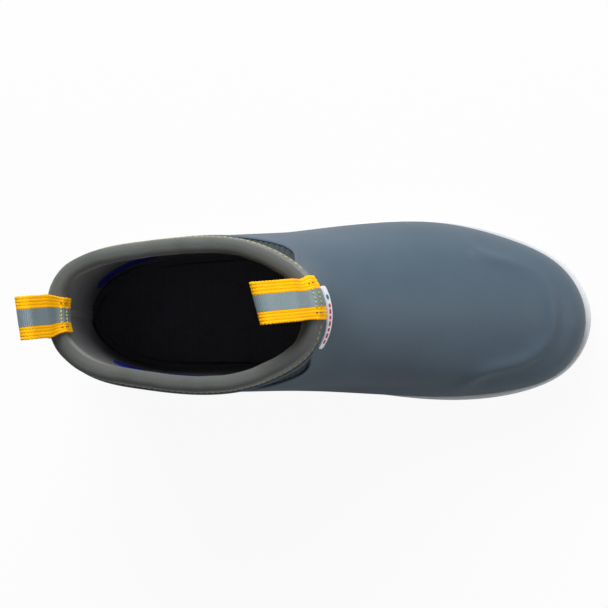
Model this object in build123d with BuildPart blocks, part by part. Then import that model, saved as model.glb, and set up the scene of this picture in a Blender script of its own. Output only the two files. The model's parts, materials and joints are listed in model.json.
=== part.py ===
"""Ankle-height deck boot for the left foot: a moulded rubber upper with stretch side panels over a
neoprene sock, on a cup sole with a siped tread, with a webbing pull loop at the front and the back.

Frame, in millimetres: X runs from heel to toe, Y to the wearer's left (the outer side of a left boot)
and Z up. The origin is on the tread's flat face, under the waist of the sole.
"""

from build123d import *

import os
from math import cos, hypot, radians, sin

os.makedirs("parts", exist_ok=True)

# ---- The last: a table of level outlines -------------------------------------------------------
# Each level is a closed outline. Half-widths are measured from the X axis at these shares of the
# outline's length, counted from the heel: first the outer side, then the inner side.
STATIONS = (0.035, 0.14, 0.32, 0.52, 0.70, 0.85, 0.96)
# height, (heel x, heel y), (toe x, toe y), outer half-widths, inner half-widths
LAST = (
    (0, (-127.0, 0.0), (158.0, -2.5),
     (18.0, 31.5, 35.0, 44.5, 48.0, 39.5, 22.0),
     (18.0, 31.5, 31.5, 37.0, 43.5, 40.0, 27.0)),
    (14, (-130.0, 0.0), (163.0, -3.0),
     (20.5, 35.0, 38.5, 48.0, 52.0, 42.5, 24.5),
     (20.5, 35.0, 35.0, 40.5, 46.8, 43.5, 30.0)),
    (30, (-131.5, 0.0), (165.5, -3.0),
     (21.5, 36.5, 41.0, 50.5, 54.0, 44.0, 25.5),
     (21.5, 36.5, 37.5, 43.0, 48.4, 45.0, 31.5)),
    (45, (-130.3, 0.0), (159.0, -2.5),
     (21.5, 37.0, 43.0, 51.0, 52.0, 41.5, 23.5),
     (21.5, 37.0, 40.0, 44.5, 47.0, 42.0, 27.5)),
    (57, (-128.0, 0.0), (139.0, -1.0),
     (21.5, 37.0, 43.5, 49.0, 49.0, 39.0, 21.5),
     (21.5, 37.0, 41.0, 44.0, 43.5, 37.0, 22.5)),
    (70, (-126.3, 0.0), (102.0, 0.0),
     (21.5, 36.5, 43.0, 46.5, 45.5, 38.0, 21.0),
     (21.5, 36.5, 41.0, 43.0, 40.5, 35.0, 20.0)),
    (84, (-125.5, 0.0), (70.0, 0.5),
     (21.0, 35.5, 42.5, 45.0, 43.0, 35.5, 19.5),
     (21.0, 35.5, 41.0, 42.5, 39.5, 33.0, 19.0)),
    (98, (-125.8, 0.5), (44.5, 0.5),
     (20.5, 34.5, 41.5, 43.5, 41.5, 34.0, 19.0),
     (20.0, 34.0, 40.0, 42.0, 39.5, 32.5, 18.5)),
    (112, (-127.0, 0.7), (25.5, 0.3),
     (20.5, 33.5, 40.0, 42.5, 40.5, 33.0, 18.5),
     (19.5, 32.5, 39.0, 41.0, 39.0, 31.5, 18.0)),
    (128, (-129.3, 1.0), (14.0, 0.0),
     (20.5, 32.5, 38.5, 41.0, 39.5, 32.0, 18.5),
     (18.5, 31.0, 37.5, 40.0, 38.0, 30.5, 18.0)),
    (150, (-132.5, 1.5), (5.5, 0.0),
     (21.0, 31.0, 36.5, 39.5, 38.5, 31.0, 18.5),
     (17.0, 29.0, 35.0, 38.5, 37.0, 29.5, 18.0)),
    (168, (-135.0, 2.0), (-1.0, 0.0),
     (21.0, 30.5, 35.5, 38.5, 37.5, 30.5, 18.5),
     (17.0, 28.5, 34.0, 37.5, 36.0, 29.0, 18.0)),
)
# The sole's outline seen from above, in the same form.
SOLE = (0, (-134.8, 0.0), (171.3, -3.0),
        (23.5, 39.5, 43.0, 53.0, 57.0, 47.0, 26.5),
        (23.5, 39.5, 39.5, 45.0, 51.4, 48.0, 32.0))

# ---- Layers of the wall, as insets from the last's surface --------------------------------------
RUBBER = 2.2
SOCK = 6.5
GORE_FACE = 0.8
BINDING_OUT, BINDING_IN = -0.9, 7.4
WEBBING = 1.5
THREAD = 0.4
TAPE = 0.25
LABEL = 1.0
TOE_LAYER = 1.1
COUNTER_LAYER = 1.6

# ---- Heights ------------------------------------------------------------------------------------
OUTSOLE_TOP = 10.0
FOXING_TOP = 24.0
UPPER_BOTTOM = 13.0
BOARD_BOTTOM = 15.0
SOCK_BOTTOM = 16.8
SOCK_FLOOR = 18.5
FOOTBED_TOP = 25.0
CUP_TOP = 33.0
CLOTH_TOP = 25.8
WALL_TOP = 149.0
BINDING_TOP = 151.0
BINDING_HEM = 138.5

# ---- Sole details -------------------------------------------------------------------------------
FOXING_SET_IN = 1.3
LASTING_MARGIN = 16.0
GROOVE_DEPTH, GROOVE_WIDTH = 2.6, 1.6
GROOVE_PITCH = 8.0
TREAD_RIM = 7.0
TOE_SPRING_START, TOE_SPRING = 108.0, 6.5
HEEL_BEVEL_START, HEEL_BEVEL = -116.0, 3.0
SHANK_LENGTH, SHANK_WIDTH, SHANK_THICK = 112.0, 16.0, 1.6
SHANK_X = -22.0

# ---- Upper details ------------------------------------------------------------------------------
WINDOW_SILL, WINDOW_RADIUS = 114.0, 8.0
OUTER_WINDOW_X, INNER_WINDOW_X = (-3.5, -112.0), (4.5, -114.0)
TOE_CAP_REAR, TOE_CAP_REACH, TOE_CAP_HALF_WIDTH = 88.0, 54.0, 36.0
COUNTER_TOP = 74.0
BINDING_ROUND = 3.4
COLLAR_CENTRE, COLLAR_STITCHES, STITCH_ROW_Z = (-63.0, 1.0), 96, 140.2
STITCH_LENGTH, STITCH_PITCH, THREAD_WIDTH, STAND_OFF = 2.0, 2.8, 0.6, 0.06
LABEL_Z, LABEL_WIDTH, LABEL_HEIGHT = 130.0, 34.0, 6.5
LABEL_BARS, LABEL_BAR_PITCH, BAR_THICK = 8, 3.4, 0.3

# ---- Pull loops ---------------------------------------------------------------------------------
TAB_WIDTH = 22.0
TAPE_WIDTH = 8.6
TAB_HEM = 138.0
LOOP_LENGTH = 29.0
LOOP_ROOT, LOOP_FOLD = 2.2, 3.7
HINGE_Z = BINDING_TOP + WEBBING + LOOP_ROOT + 0.4
# name, hinge x, hinge y, yaw of the webbing's outward side, lean of the loop from upright towards -X
FRONT_TAB = ("front", 1.2, 8.5, 5.0, 62.0)
REAR_TAB = ("rear", -128.5, 0.0, 185.0, 24.0)


def ring(level, inset):
    """The outline of a level, moved in by `inset` along its own normals."""
    _, heel, toe, outer, inner = level
    length = toe[0] - heel[0]
    points = [heel]
    points += [(heel[0] + s * length, -w) for s, w in zip(STATIONS, inner)]
    points += [toe]
    points += [(heel[0] + s * length, w) for s, w in reversed(list(zip(STATIONS, outer)))]
    moved = []
    for i, (x, y) in enumerate(points):
        before, after = points[i - 1], points[(i + 1) % len(points)]
        dx, dy = after[0] - before[0], after[1] - before[1]
        reach = hypot(dx, dy)
        moved.append((x - inset * dy / reach, y + inset * dx / reach))
    return moved


def core(inset, low, high):
    """What lies inside the last's surface once it is moved in by `inset`, between two heights."""
    with BuildPart() as body:
        for level in LAST:
            with BuildSketch(Plane.XY.offset(level[0] - inset)):
                with BuildLine():
                    Spline(*ring(level, inset), periodic=True)
                make_face()
        loft()
        split(bisect_by=Plane.XY.offset(low), keep=Keep.TOP)
        split(bisect_by=Plane.XY.offset(high), keep=Keep.BOTTOM)
    return body.part


def slab(inset, low, high):
    """A straight-sided plate of the sole's outline, moved in by `inset`."""
    with BuildPart() as body:
        with BuildSketch(Plane.XY.offset(low)):
            with BuildLine():
                Spline(*ring(SOLE, inset), periodic=True)
            make_face()
        extrude(amount=high - low)
    return body.part


def finish(name, block):
    """Labels a finished piece and writes it."""
    block.part.label = name
    export_step(block.part, f"parts/{name}.step")


# ---- Sole unit ----------------------------------------------------------------------------------
SOLE_PLATE = slab(0, 0, OUTSOLE_TOP)
TREAD_FIELD = slab(TREAD_RIM, -1, GROOVE_DEPTH)


def zigzag(x):
    """Corner points of one wavy sipe across the tread, centred at x."""
    steps = range(-6, 7)
    return [(x + (2.4 if step % 2 else -2.4), step * 11.0) for step in steps]


def tread_grooves():
    """Wavy sipes over the forefoot and the heel; the waist stays smooth."""
    forefoot = [24.0 + GROOVE_PITCH * i for i in range(15)]
    heel = [-112.0 + GROOVE_PITCH * i for i in range(8)]
    with BuildPart() as cuts:
        with BuildSketch(Plane.XY.offset(-1)):
            for x in forefoot + heel:
                with BuildLine():
                    wave = Polyline(*zigzag(x))
                trace(wave, line_width=GROOVE_WIDTH)
        extrude(amount=GROOVE_DEPTH + 1)
        add(TREAD_FIELD, mode=Mode.INTERSECT)
    return cuts.part


GROOVES = tread_grooves()

with BuildPart() as outsole:
    add(SOLE_PLATE)
    chamfer(outsole.faces().sort_by(Axis.Z)[-1].edges(), length=0.8)
    with BuildSketch(Plane.XZ):
        with BuildLine():
            spring = ThreePointArc(
                (TOE_SPRING_START, 0),
                (TOE_SPRING_START + 36, 0.27 * TOE_SPRING),
                (TOE_SPRING_START + 70, TOE_SPRING),
            )
            Polyline(spring @ 1, (TOE_SPRING_START + 70, -2), (TOE_SPRING_START, -2), spring @ 0)
        make_face()
        with BuildLine():
            Polyline(
                (HEEL_BEVEL_START, 0),
                (HEEL_BEVEL_START - 24, HEEL_BEVEL),
                (HEEL_BEVEL_START - 24, -2),
                (HEEL_BEVEL_START, -2),
                close=True,
            )
        make_face()
    extrude(amount=80, both=True, mode=Mode.SUBTRACT)
    add(GROOVES, mode=Mode.SUBTRACT)
finish("outsole", outsole)

WALL = core(0, OUTSOLE_TOP, WALL_TOP)
RUBBER_INSIDE = core(RUBBER, BOARD_BOTTOM, WALL_TOP + 5)
SOCK_INSIDE = core(SOCK, SOCK_FLOOR, WALL_TOP + 5)

with BuildPart() as foxing:
    add(slab(FOXING_SET_IN, OUTSOLE_TOP, FOXING_TOP))
    fillet(foxing.faces().sort_by(Axis.Z)[-1].edges(), radius=1.4)
    add(WALL, mode=Mode.SUBTRACT)
finish("foxing", foxing)

with BuildPart() as shank:
    with BuildSketch(Plane.XY.offset(BOARD_BOTTOM - SHANK_THICK)):
        with Locations((SHANK_X, 1.0)):
            SlotOverall(SHANK_LENGTH, SHANK_WIDTH)
    extrude(amount=SHANK_THICK)
finish("shank", shank)

with BuildPart() as midsole:
    add(core(0, OUTSOLE_TOP, UPPER_BOTTOM))
    add(core(LASTING_MARGIN, UPPER_BOTTOM, BOARD_BOTTOM))
    add(shank.part, mode=Mode.SUBTRACT)
finish("midsole", midsole)

with BuildPart() as insole_board:
    add(core(RUBBER, BOARD_BOTTOM, SOCK_BOTTOM))
finish("insole_board", insole_board)

# ---- Upper --------------------------------------------------------------------------------------


def window(front_top, rear_top, side):
    """A stretch panel's opening: a U in side view, open at the collar, cut through one side's wall."""
    with BuildPart() as opening:
        with BuildSketch(Plane.XZ) as view:
            with BuildLine():
                Polyline(
                    (front_top - 13, 175),
                    (front_top, 137),
                    (front_top - 1, WINDOW_SILL + 1),
                    (rear_top + 10, WINDOW_SILL),
                    (rear_top, 142),
                    (rear_top - 7, 175),
                    close=True,
                )
            make_face()
            sill = view.vertices().filter_by_position(Axis.Y, WINDOW_SILL - 1, WINDOW_SILL + 3)
            fillet(sill, radius=WINDOW_RADIUS)
        extrude(amount=-side * 70)
    return opening.part


OUTER_WINDOW = window(*OUTER_WINDOW_X, 1)
INNER_WINDOW = window(*INNER_WINDOW_X, -1)

with BuildPart() as upper_shell:
    add(core(0, UPPER_BOTTOM, WALL_TOP))
    add(RUBBER_INSIDE, mode=Mode.SUBTRACT)
    add(core(LASTING_MARGIN, UPPER_BOTTOM - 1, BOARD_BOTTOM + 1), mode=Mode.SUBTRACT)
    add(OUTER_WINDOW, mode=Mode.SUBTRACT)
    add(INNER_WINDOW, mode=Mode.SUBTRACT)
finish("upper_shell", upper_shell)

GORE_CORE = core(GORE_FACE, UPPER_BOTTOM, WALL_TOP)

with BuildPart() as outer_gore:
    add(GORE_CORE)
    add(OUTER_WINDOW, mode=Mode.INTERSECT)
    add(RUBBER_INSIDE, mode=Mode.SUBTRACT)
finish("outer_gore", outer_gore)

with BuildPart() as inner_gore:
    add(GORE_CORE)
    add(INNER_WINDOW, mode=Mode.INTERSECT)
    add(RUBBER_INSIDE, mode=Mode.SUBTRACT)
finish("inner_gore", inner_gore)

# ---- Stiffeners between the rubber and the sock ---------------------------------------------------

with BuildPart() as toe_stiffener:
    add(core(RUBBER, SOCK_BOTTOM, 75))
    add(core(RUBBER + TOE_LAYER, SOCK_BOTTOM - 1, 76), mode=Mode.SUBTRACT)
    with BuildSketch(Plane.XY) as toe_region:
        with Locations((TOE_CAP_REAR + 60, 0)):
            Rectangle(120, 130)
        with Locations((TOE_CAP_REAR, 0)):
            Ellipse(TOE_CAP_REACH, TOE_CAP_HALF_WIDTH, mode=Mode.SUBTRACT)
    extrude(amount=80, mode=Mode.INTERSECT)
finish("toe_stiffener", toe_stiffener)

with BuildPart() as heel_counter:
    add(core(RUBBER, SOCK_BOTTOM, COUNTER_TOP))
    add(core(RUBBER + COUNTER_LAYER, SOCK_BOTTOM - 1, COUNTER_TOP + 1), mode=Mode.SUBTRACT)
    with BuildSketch(Plane.XZ) as counter_side:
        with BuildLine():
            Polyline((-140, 0), (-50, 0), (-66, 50), (-92, COUNTER_TOP + 1), (-140, COUNTER_TOP + 1), close=True)
        make_face()
    extrude(amount=60, both=True, mode=Mode.INTERSECT)
finish("heel_counter", heel_counter)

with BuildPart() as sock:
    add(core(RUBBER, SOCK_BOTTOM, WALL_TOP))
    add(SOCK_INSIDE, mode=Mode.SUBTRACT)
    add(toe_stiffener.part, mode=Mode.SUBTRACT)
    add(heel_counter.part, mode=Mode.SUBTRACT)
finish("sock", sock)

# ---- Footbed --------------------------------------------------------------------------------------

with BuildPart() as footbed:
    add(core(SOCK + 0.4, SOCK_FLOOR, CUP_TOP))
    add(core(SOCK + 4.0, FOOTBED_TOP, CUP_TOP + 1), mode=Mode.SUBTRACT)
    with BuildSketch(Plane.XZ) as cup_cut:
        with BuildLine():
            Polyline((-52, CUP_TOP + 1), (8, FOOTBED_TOP), (180, FOOTBED_TOP), (180, CUP_TOP + 1), close=True)
        make_face()
    extrude(amount=70, both=True, mode=Mode.SUBTRACT)
finish("footbed", footbed)

with BuildPart() as footbed_cloth:
    add(core(SOCK + 4.1, FOOTBED_TOP, CLOTH_TOP))
finish("footbed_cloth", footbed_cloth)

# ---- Collar binding -------------------------------------------------------------------------------


def tab_frame(tab, height):
    """Plane at the hinge's place: its X axis runs along the webbing's width, its normal outward."""
    _, x, y, yaw, _ = tab
    outward = Vector(cos(radians(yaw)), sin(radians(yaw)), 0)
    across = Vector(-outward.Y, outward.X, 0)
    return Plane(origin=(x, y, height), x_dir=across, z_dir=outward)


with BuildPart() as collar_binding:
    add(core(BINDING_OUT, BINDING_HEM, BINDING_TOP))
    add(core(BINDING_IN, BINDING_HEM - 1, BINDING_TOP + 1), mode=Mode.SUBTRACT)
    rims = collar_binding.faces().sort_by(Axis.Z)[-1].edges()
    fillet(rims, radius=BINDING_ROUND)
    add(WALL - SOCK_INSIDE, mode=Mode.SUBTRACT)
finish("collar_binding", collar_binding)


def rim(inset, height):
    """The wall's outline at one height, once it is moved in by `inset`."""
    return core(inset, height - 1, height).faces().sort_by(Axis.Z)[-1].outer_wire()


def tab_share(outline, tab):
    """Where a tab's middle lies on an outline, as a share of the outline's length."""
    middle = tab_frame(tab, outline.center().Z)
    outside = middle.origin + middle.z_dir * 20
    nearest = outline.distance_to_with_closest_points(outside)[1]
    return outline.param_at_point(nearest)


def seat(outline, share, skin=None, quarter_turn=False):
    """Plane of one stitch on an outline, square to the skin under it: its X axis runs along the thread."""
    spot = outline.position_at(share % 1)
    along = outline.tangent_at(share % 1)
    out = along.cross(Vector(0, 0, 1))
    if out.dot(spot - Vector(*COLLAR_CENTRE, spot.Z)) < 0:
        out = -out
    if skin is not None:
        hits = skin.find_intersection_points(Axis(spot - out * 2, out))
        normal = min(hits, key=lambda hit: (hit[0] - spot).length)[1]
        out = normal if normal.dot(out) > 0 else -normal
    thread_dir = Vector(0, 0, 1) if quarter_turn else along
    return Plane(origin=spot + out * (THREAD / 2 + STAND_OFF), x_dir=thread_dir, z_dir=out)


def gap_from(outline, share, tab):
    """Distance along an outline from a stitch to a tab's middle."""
    turn = abs(share - tab_share(outline, tab)) % 1
    return min(turn, 1 - turn) * outline.length


HEM_LINE = rim(BINDING_OUT, STITCH_ROW_Z)
CLEAR_OF_TAB = TAB_WIDTH / 2 + STITCH_LENGTH
with BuildPart() as collar_stitching:
    shares = [i / COLLAR_STITCHES for i in range(COLLAR_STITCHES)]
    for tab in (FRONT_TAB, REAR_TAB):
        shares = [share for share in shares if gap_from(HEM_LINE, share, tab) > CLEAR_OF_TAB]
    with Locations(*[seat(HEM_LINE, share) for share in shares]):
        Box(STITCH_LENGTH, THREAD_WIDTH, THREAD)
finish("collar_stitching", collar_stitching)

# ---- Label on the front of the upper --------------------------------------------------------------

with BuildPart() as front_label:
    add(core(-LABEL, 115, 146))
    add(core(0, 114, 147), mode=Mode.SUBTRACT)
    with BuildSketch(Plane.YZ):
        with Locations((0, LABEL_Z)):
            RectangleRounded(LABEL_WIDTH, LABEL_HEIGHT, 1.5)
    extrude(amount=60, mode=Mode.INTERSECT)
finish("front_label", front_label)

LABEL_FACE = core(-LABEL, 115, 146)


def bar_seat(y):
    """Plane on the label's face at one place across the boot."""
    spot, normal = max(
        LABEL_FACE.find_intersection_points(Axis((-60, y, LABEL_Z), (1, 0, 0))),
        key=lambda hit: hit[0].X,
    )
    out = normal if normal.X > 0 else -normal
    return Plane(origin=spot + out * (BAR_THICK / 2 + STAND_OFF), x_dir=(0, 0, 1), z_dir=out)


with BuildPart() as front_label_bars:
    places = [LABEL_BAR_PITCH * (i - (LABEL_BARS - 1) / 2) for i in range(LABEL_BARS)]
    with Locations(*[bar_seat(y) for y in places]):
        Box(LABEL_HEIGHT * 0.3, LABEL_BAR_PITCH * 0.55, BAR_THICK)
finish("front_label_bars", front_label_bars)

# ---- Pull loops -----------------------------------------------------------------------------------


def saddle(inset_out, inset_in, top_gain, tab):
    """The webbing sewn over the collar: a shell around the binding, cut to the webbing's width."""
    with BuildPart() as anchor:
        add(core(inset_out, TAB_HEM, BINDING_TOP + top_gain))
        add(core(inset_in, TAB_HEM - 1, BINDING_TOP + top_gain + 1), mode=Mode.SUBTRACT)
        add(SADDLE_VOID, mode=Mode.SUBTRACT)
        with BuildSketch(tab_frame(tab, HINGE_Z)):
            Rectangle(TAB_WIDTH, 60)
        extrude(amount=22, both=True, mode=Mode.INTERSECT)
    return anchor


def outer_layer(inset, thickness):
    """A thin skin of the wall's height at the webbing's outer leg."""
    skin = core(inset - thickness, TAB_HEM, WALL_TOP + 1.5)
    return skin - core(inset, TAB_HEM - 1, WALL_TOP + 3)


def anchor_tape(tab):
    """The reflective tape's end on the outer leg."""
    with BuildPart() as tape:
        add(TAPE_SKIN)
        with BuildSketch(tab_frame(tab, HINGE_Z)):
            Rectangle(TAPE_WIDTH, 60)
        extrude(amount=30, mode=Mode.INTERSECT)
    return tape


def anchor_stitching(tab):
    """A box of stitches that sews the outer leg to the collar."""
    seats = []
    for height in ROW_HEIGHTS:
        for step in (-3, -1, 0, 1, 3):
            on_tape = abs(step) < 2
            outline = WEBBING_LINES[height, on_tape]
            share = tab_share(outline, tab) + step * STITCH_PITCH / outline.length
            seats.append(seat(outline, share, WEBBING_SKINS[on_tape]))
    for step in (-1, 0, 1):
        height = BOX_MIDDLE + step * STITCH_PITCH
        outline = WEBBING_LINES[height, False]
        for side_step in (-3, 3):
            share = tab_share(outline, tab) + side_step * STITCH_PITCH / outline.length
            seats.append(seat(outline, share, WEBBING_SKINS[False], quarter_turn=True))
    with BuildPart() as threads:
        with Locations(*seats):
            Box(STITCH_LENGTH, THREAD_WIDTH, THREAD)
    return threads


def loop_plane(tab):
    """Plane across the hinge's axis: its X axis runs along the loop, from the hinge to the fold."""
    _, x, y, yaw, lean = tab
    towards_heel = Vector(-1, 0, 0).rotate(Axis.Z, yaw if yaw < 90 else yaw - 180)
    along = towards_heel * sin(radians(lean)) + Vector(0, 0, 1) * cos(radians(lean))
    return Plane(origin=(x, y, HINGE_Z), x_dir=along, z_dir=tab_frame(tab, 0).x_dir)


def teardrop(root, fold):
    """Side view of the loop: round at the hinge and at the fold, straight between them."""
    with BuildSketch(mode=Mode.PRIVATE) as outline:
        Circle(root)
        with Locations((LOOP_LENGTH - LOOP_FOLD, 0)):
            Circle(fold)
        make_hull()
    return outline.sketch


def loop(tab):
    """The webbing loop itself, sewn shut at the hinge and round at the fold."""
    with BuildPart() as webbing:
        with BuildSketch(loop_plane(tab)):
            add(teardrop(LOOP_ROOT, LOOP_FOLD))
            add(teardrop(LOOP_ROOT - WEBBING, LOOP_FOLD - WEBBING), mode=Mode.SUBTRACT)
        extrude(amount=TAB_WIDTH / 2, both=True)
    return webbing


def loop_tape(tab):
    """The reflective tape on the loop's outside, from one root to the other."""
    with BuildPart() as tape:
        with BuildSketch(loop_plane(tab)):
            add(teardrop(LOOP_ROOT + TAPE, LOOP_FOLD + TAPE))
            add(teardrop(LOOP_ROOT, LOOP_FOLD), mode=Mode.SUBTRACT)
            with Locations((-1, 0)):
                Rectangle(7, 12, mode=Mode.SUBTRACT)
        extrude(amount=TAPE_WIDTH / 2, both=True)
    return tape


SADDLE_VOID = core(BINDING_OUT, TAB_HEM - 1, BINDING_TOP) - core(BINDING_IN, TAB_HEM - 2, BINDING_TOP + 1)
TAPE_SKIN = outer_layer(BINDING_OUT - WEBBING, TAPE)
BOX_MIDDLE = (TAB_HEM + WALL_TOP + 0.2) / 2
ROW_HEIGHTS = (TAB_HEM + 1.6, WALL_TOP - 1.4)
WEBBING_SKINS = {
    True: core(BINDING_OUT - WEBBING - TAPE, TAB_HEM, WALL_TOP),
    False: core(BINDING_OUT - WEBBING, TAB_HEM, WALL_TOP),
}
WEBBING_LINES = {(z, True): rim(BINDING_OUT - WEBBING - TAPE, z) for z in ROW_HEIGHTS}
for z in ROW_HEIGHTS + tuple(BOX_MIDDLE + step * STITCH_PITCH for step in (-1, 0, 1)):
    WEBBING_LINES[z, False] = rim(BINDING_OUT - WEBBING, z)

for pull_tab in (FRONT_TAB, REAR_TAB):
    side = pull_tab[0]
    finish(f"{side}_tab_anchor", saddle(BINDING_OUT - WEBBING, BINDING_IN + WEBBING, WEBBING, pull_tab))
    finish(f"{side}_anchor_tape", anchor_tape(pull_tab))
    finish(f"{side}_anchor_stitching", anchor_stitching(pull_tab))
    finish(f"{side}_tab_loop", loop(pull_tab))
    finish(f"{side}_loop_tape", loop_tape(pull_tab))
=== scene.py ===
"""Looks of an ankle-height rubber deck boot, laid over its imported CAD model.

Every length is in metres in the CAD model's frame: +X to the toe, +Y to the boot's outer side, +Z up.
"""

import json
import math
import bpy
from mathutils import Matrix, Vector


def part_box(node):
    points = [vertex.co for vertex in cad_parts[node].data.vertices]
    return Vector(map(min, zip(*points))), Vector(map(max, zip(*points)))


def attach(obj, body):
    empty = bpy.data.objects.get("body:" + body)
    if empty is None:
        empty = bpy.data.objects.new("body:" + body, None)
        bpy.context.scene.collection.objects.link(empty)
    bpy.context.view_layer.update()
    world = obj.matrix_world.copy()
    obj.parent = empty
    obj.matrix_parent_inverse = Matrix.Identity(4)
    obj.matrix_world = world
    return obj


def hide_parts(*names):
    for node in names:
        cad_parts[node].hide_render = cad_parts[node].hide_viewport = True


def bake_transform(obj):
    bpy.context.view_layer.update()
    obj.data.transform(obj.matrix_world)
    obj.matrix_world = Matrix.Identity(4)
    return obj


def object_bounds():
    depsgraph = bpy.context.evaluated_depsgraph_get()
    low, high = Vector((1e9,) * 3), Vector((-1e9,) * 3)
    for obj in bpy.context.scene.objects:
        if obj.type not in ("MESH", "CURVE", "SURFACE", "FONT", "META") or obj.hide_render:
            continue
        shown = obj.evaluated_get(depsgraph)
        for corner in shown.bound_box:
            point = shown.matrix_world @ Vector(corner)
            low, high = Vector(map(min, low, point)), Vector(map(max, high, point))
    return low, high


bl_info = {
    "name": "Deck Boot",
    "version": (1, 0, 0),
    "blender": (4, 5, 0),
    "location": "3D View > Sidebar > Deck Boot",
    "description": "Builds the visible pieces, finishes and stage of a rubber deck boot",
    "category": "Add Mesh",
}

import bpy
import numpy as np
from mathutils import Vector

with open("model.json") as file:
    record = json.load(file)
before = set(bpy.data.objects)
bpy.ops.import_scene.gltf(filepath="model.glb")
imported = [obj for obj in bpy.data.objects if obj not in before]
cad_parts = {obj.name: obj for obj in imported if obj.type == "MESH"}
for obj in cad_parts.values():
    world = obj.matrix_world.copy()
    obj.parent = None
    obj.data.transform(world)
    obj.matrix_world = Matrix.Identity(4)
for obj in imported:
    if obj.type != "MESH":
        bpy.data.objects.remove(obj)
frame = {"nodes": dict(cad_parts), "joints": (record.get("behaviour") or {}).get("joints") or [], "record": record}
CAD_LOW, CAD_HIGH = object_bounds()

MM = 0.001
BOOT = "boot"

# ---- The last -------------------------------------------------------------------------------------
# The boot's outer surface as level outlines, in millimetres. Half-widths are measured from the X axis
# at these shares of the outline's length, counted from the heel.
STATIONS = (0.035, 0.14, 0.32, 0.52, 0.70, 0.85, 0.96)
# height, heel x, heel y, toe x, toe y, outer half-widths, inner half-widths
LEVELS = (
    (0, -127.0, 0.0, 158.0, -2.5,
     (18.0, 31.5, 35.0, 44.5, 48.0, 39.5, 22.0), (18.0, 31.5, 31.5, 37.0, 43.5, 40.0, 27.0)),
    (14, -130.0, 0.0, 163.0, -3.0,
     (20.5, 35.0, 38.5, 48.0, 52.0, 42.5, 24.5), (20.5, 35.0, 35.0, 40.5, 46.8, 43.5, 30.0)),
    (30, -131.5, 0.0, 165.5, -3.0,
     (21.5, 36.5, 41.0, 50.5, 54.0, 44.0, 25.5), (21.5, 36.5, 37.5, 43.0, 48.4, 45.0, 31.5)),
    (45, -130.3, 0.0, 159.0, -2.5,
     (21.5, 37.0, 43.0, 51.0, 52.0, 41.5, 23.5), (21.5, 37.0, 40.0, 44.5, 47.0, 42.0, 27.5)),
    (57, -128.0, 0.0, 139.0, -1.0,
     (21.5, 37.0, 43.5, 49.0, 49.0, 39.0, 21.5), (21.5, 37.0, 41.0, 44.0, 43.5, 37.0, 22.5)),
    (70, -126.3, 0.0, 102.0, 0.0,
     (21.5, 36.5, 43.0, 46.5, 45.5, 38.0, 21.0), (21.5, 36.5, 41.0, 43.0, 40.5, 35.0, 20.0)),
    (84, -125.5, 0.0, 70.0, 0.5,
     (21.0, 35.5, 42.5, 45.0, 43.0, 35.5, 19.5), (21.0, 35.5, 41.0, 42.5, 39.5, 33.0, 19.0)),
    (98, -125.8, 0.5, 44.5, 0.5,
     (20.5, 34.5, 41.5, 43.5, 41.5, 34.0, 19.0), (20.0, 34.0, 40.0, 42.0, 39.5, 32.5, 18.5)),
    (112, -127.0, 0.7, 25.5, 0.3,
     (20.5, 33.5, 40.0, 42.5, 40.5, 33.0, 18.5), (19.5, 32.5, 39.0, 41.0, 39.0, 31.5, 18.0)),
    (128, -129.3, 1.0, 14.0, 0.0,
     (20.5, 32.5, 38.5, 41.0, 39.5, 32.0, 18.5), (18.5, 31.0, 37.5, 40.0, 38.0, 30.5, 18.0)),
    (150, -132.5, 1.5, 5.5, 0.0,
     (21.0, 31.0, 36.5, 39.5, 38.5, 31.0, 18.5), (17.0, 29.0, 35.0, 38.5, 37.0, 29.5, 18.0)),
    (168, -135.0, 2.0, -1.0, 0.0,
     (21.0, 30.5, 35.5, 38.5, 37.5, 30.5, 18.5), (17.0, 28.5, 34.0, 37.5, 36.0, 29.0, 18.0)),
)


def level_points(level):
    """The points of one level's outline, from the heel along the inner side to the toe and back."""
    height, heel_x, heel_y, toe_x, toe_y, outer, inner = level
    length = toe_x - heel_x
    points = [(heel_x, heel_y)]
    points += [(heel_x + share * length, -width) for share, width in zip(STATIONS, inner)]
    points += [(toe_x, toe_y)]
    points += [(heel_x + share * length, width) for share, width in zip(STATIONS[::-1], outer[::-1])]
    return np.array([(x, y, height) for x, y in points]) * MM


def run_lengths(points):
    """Distance along a line of points, at each point."""
    return np.concatenate([[0], np.cumsum(np.linalg.norm(np.diff(points, axis=0), axis=1))])


def closed_spline(points, count):
    """`count` points on the smooth closed curve through the given ones."""
    n = len(points)
    knots = run_lengths(np.concatenate([points, points[:1]]))
    steps = np.diff(knots)
    matrix = np.zeros((n, n))
    rhs = np.zeros((n, points.shape[1]))
    for i in range(n):
        before, after = steps[i - 1], steps[i]
        matrix[i, i - 1] += before
        matrix[i, i] += 2 * (before + after)
        matrix[i, (i + 1) % n] += after
        rhs[i] = 6 * ((points[(i + 1) % n] - points[i]) / after - (points[i] - points[i - 1]) / before)
    bends = np.linalg.solve(matrix, rhs)
    places = np.linspace(0, knots[-1], count, endpoint=False)
    cell = np.clip(np.searchsorted(knots, places, side="right") - 1, 0, n - 1)
    ends, end_bends = np.roll(points, -1, axis=0), np.roll(bends, -1, axis=0)
    return spline_values(points, ends, bends, end_bends, steps, knots, cell, places)


def spline_values(starts, ends, start_bends, end_bends, steps, knots, cell, places):
    """Values of a cubic spline at `places`, which lie in the given cells."""
    shape = (-1,) + (1,) * (starts.ndim - 1)
    h = steps[cell].reshape(shape)
    left = (knots[cell + 1] - places).reshape(shape)
    right = (places - knots[cell]).reshape(shape)
    curve = (start_bends[cell] * left**3 + end_bends[cell] * right**3) / (6 * h)
    line = (starts[cell] / h - start_bends[cell] * h / 6) * left
    line = line + (ends[cell] / h - end_bends[cell] * h / 6) * right
    return curve + line


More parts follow.
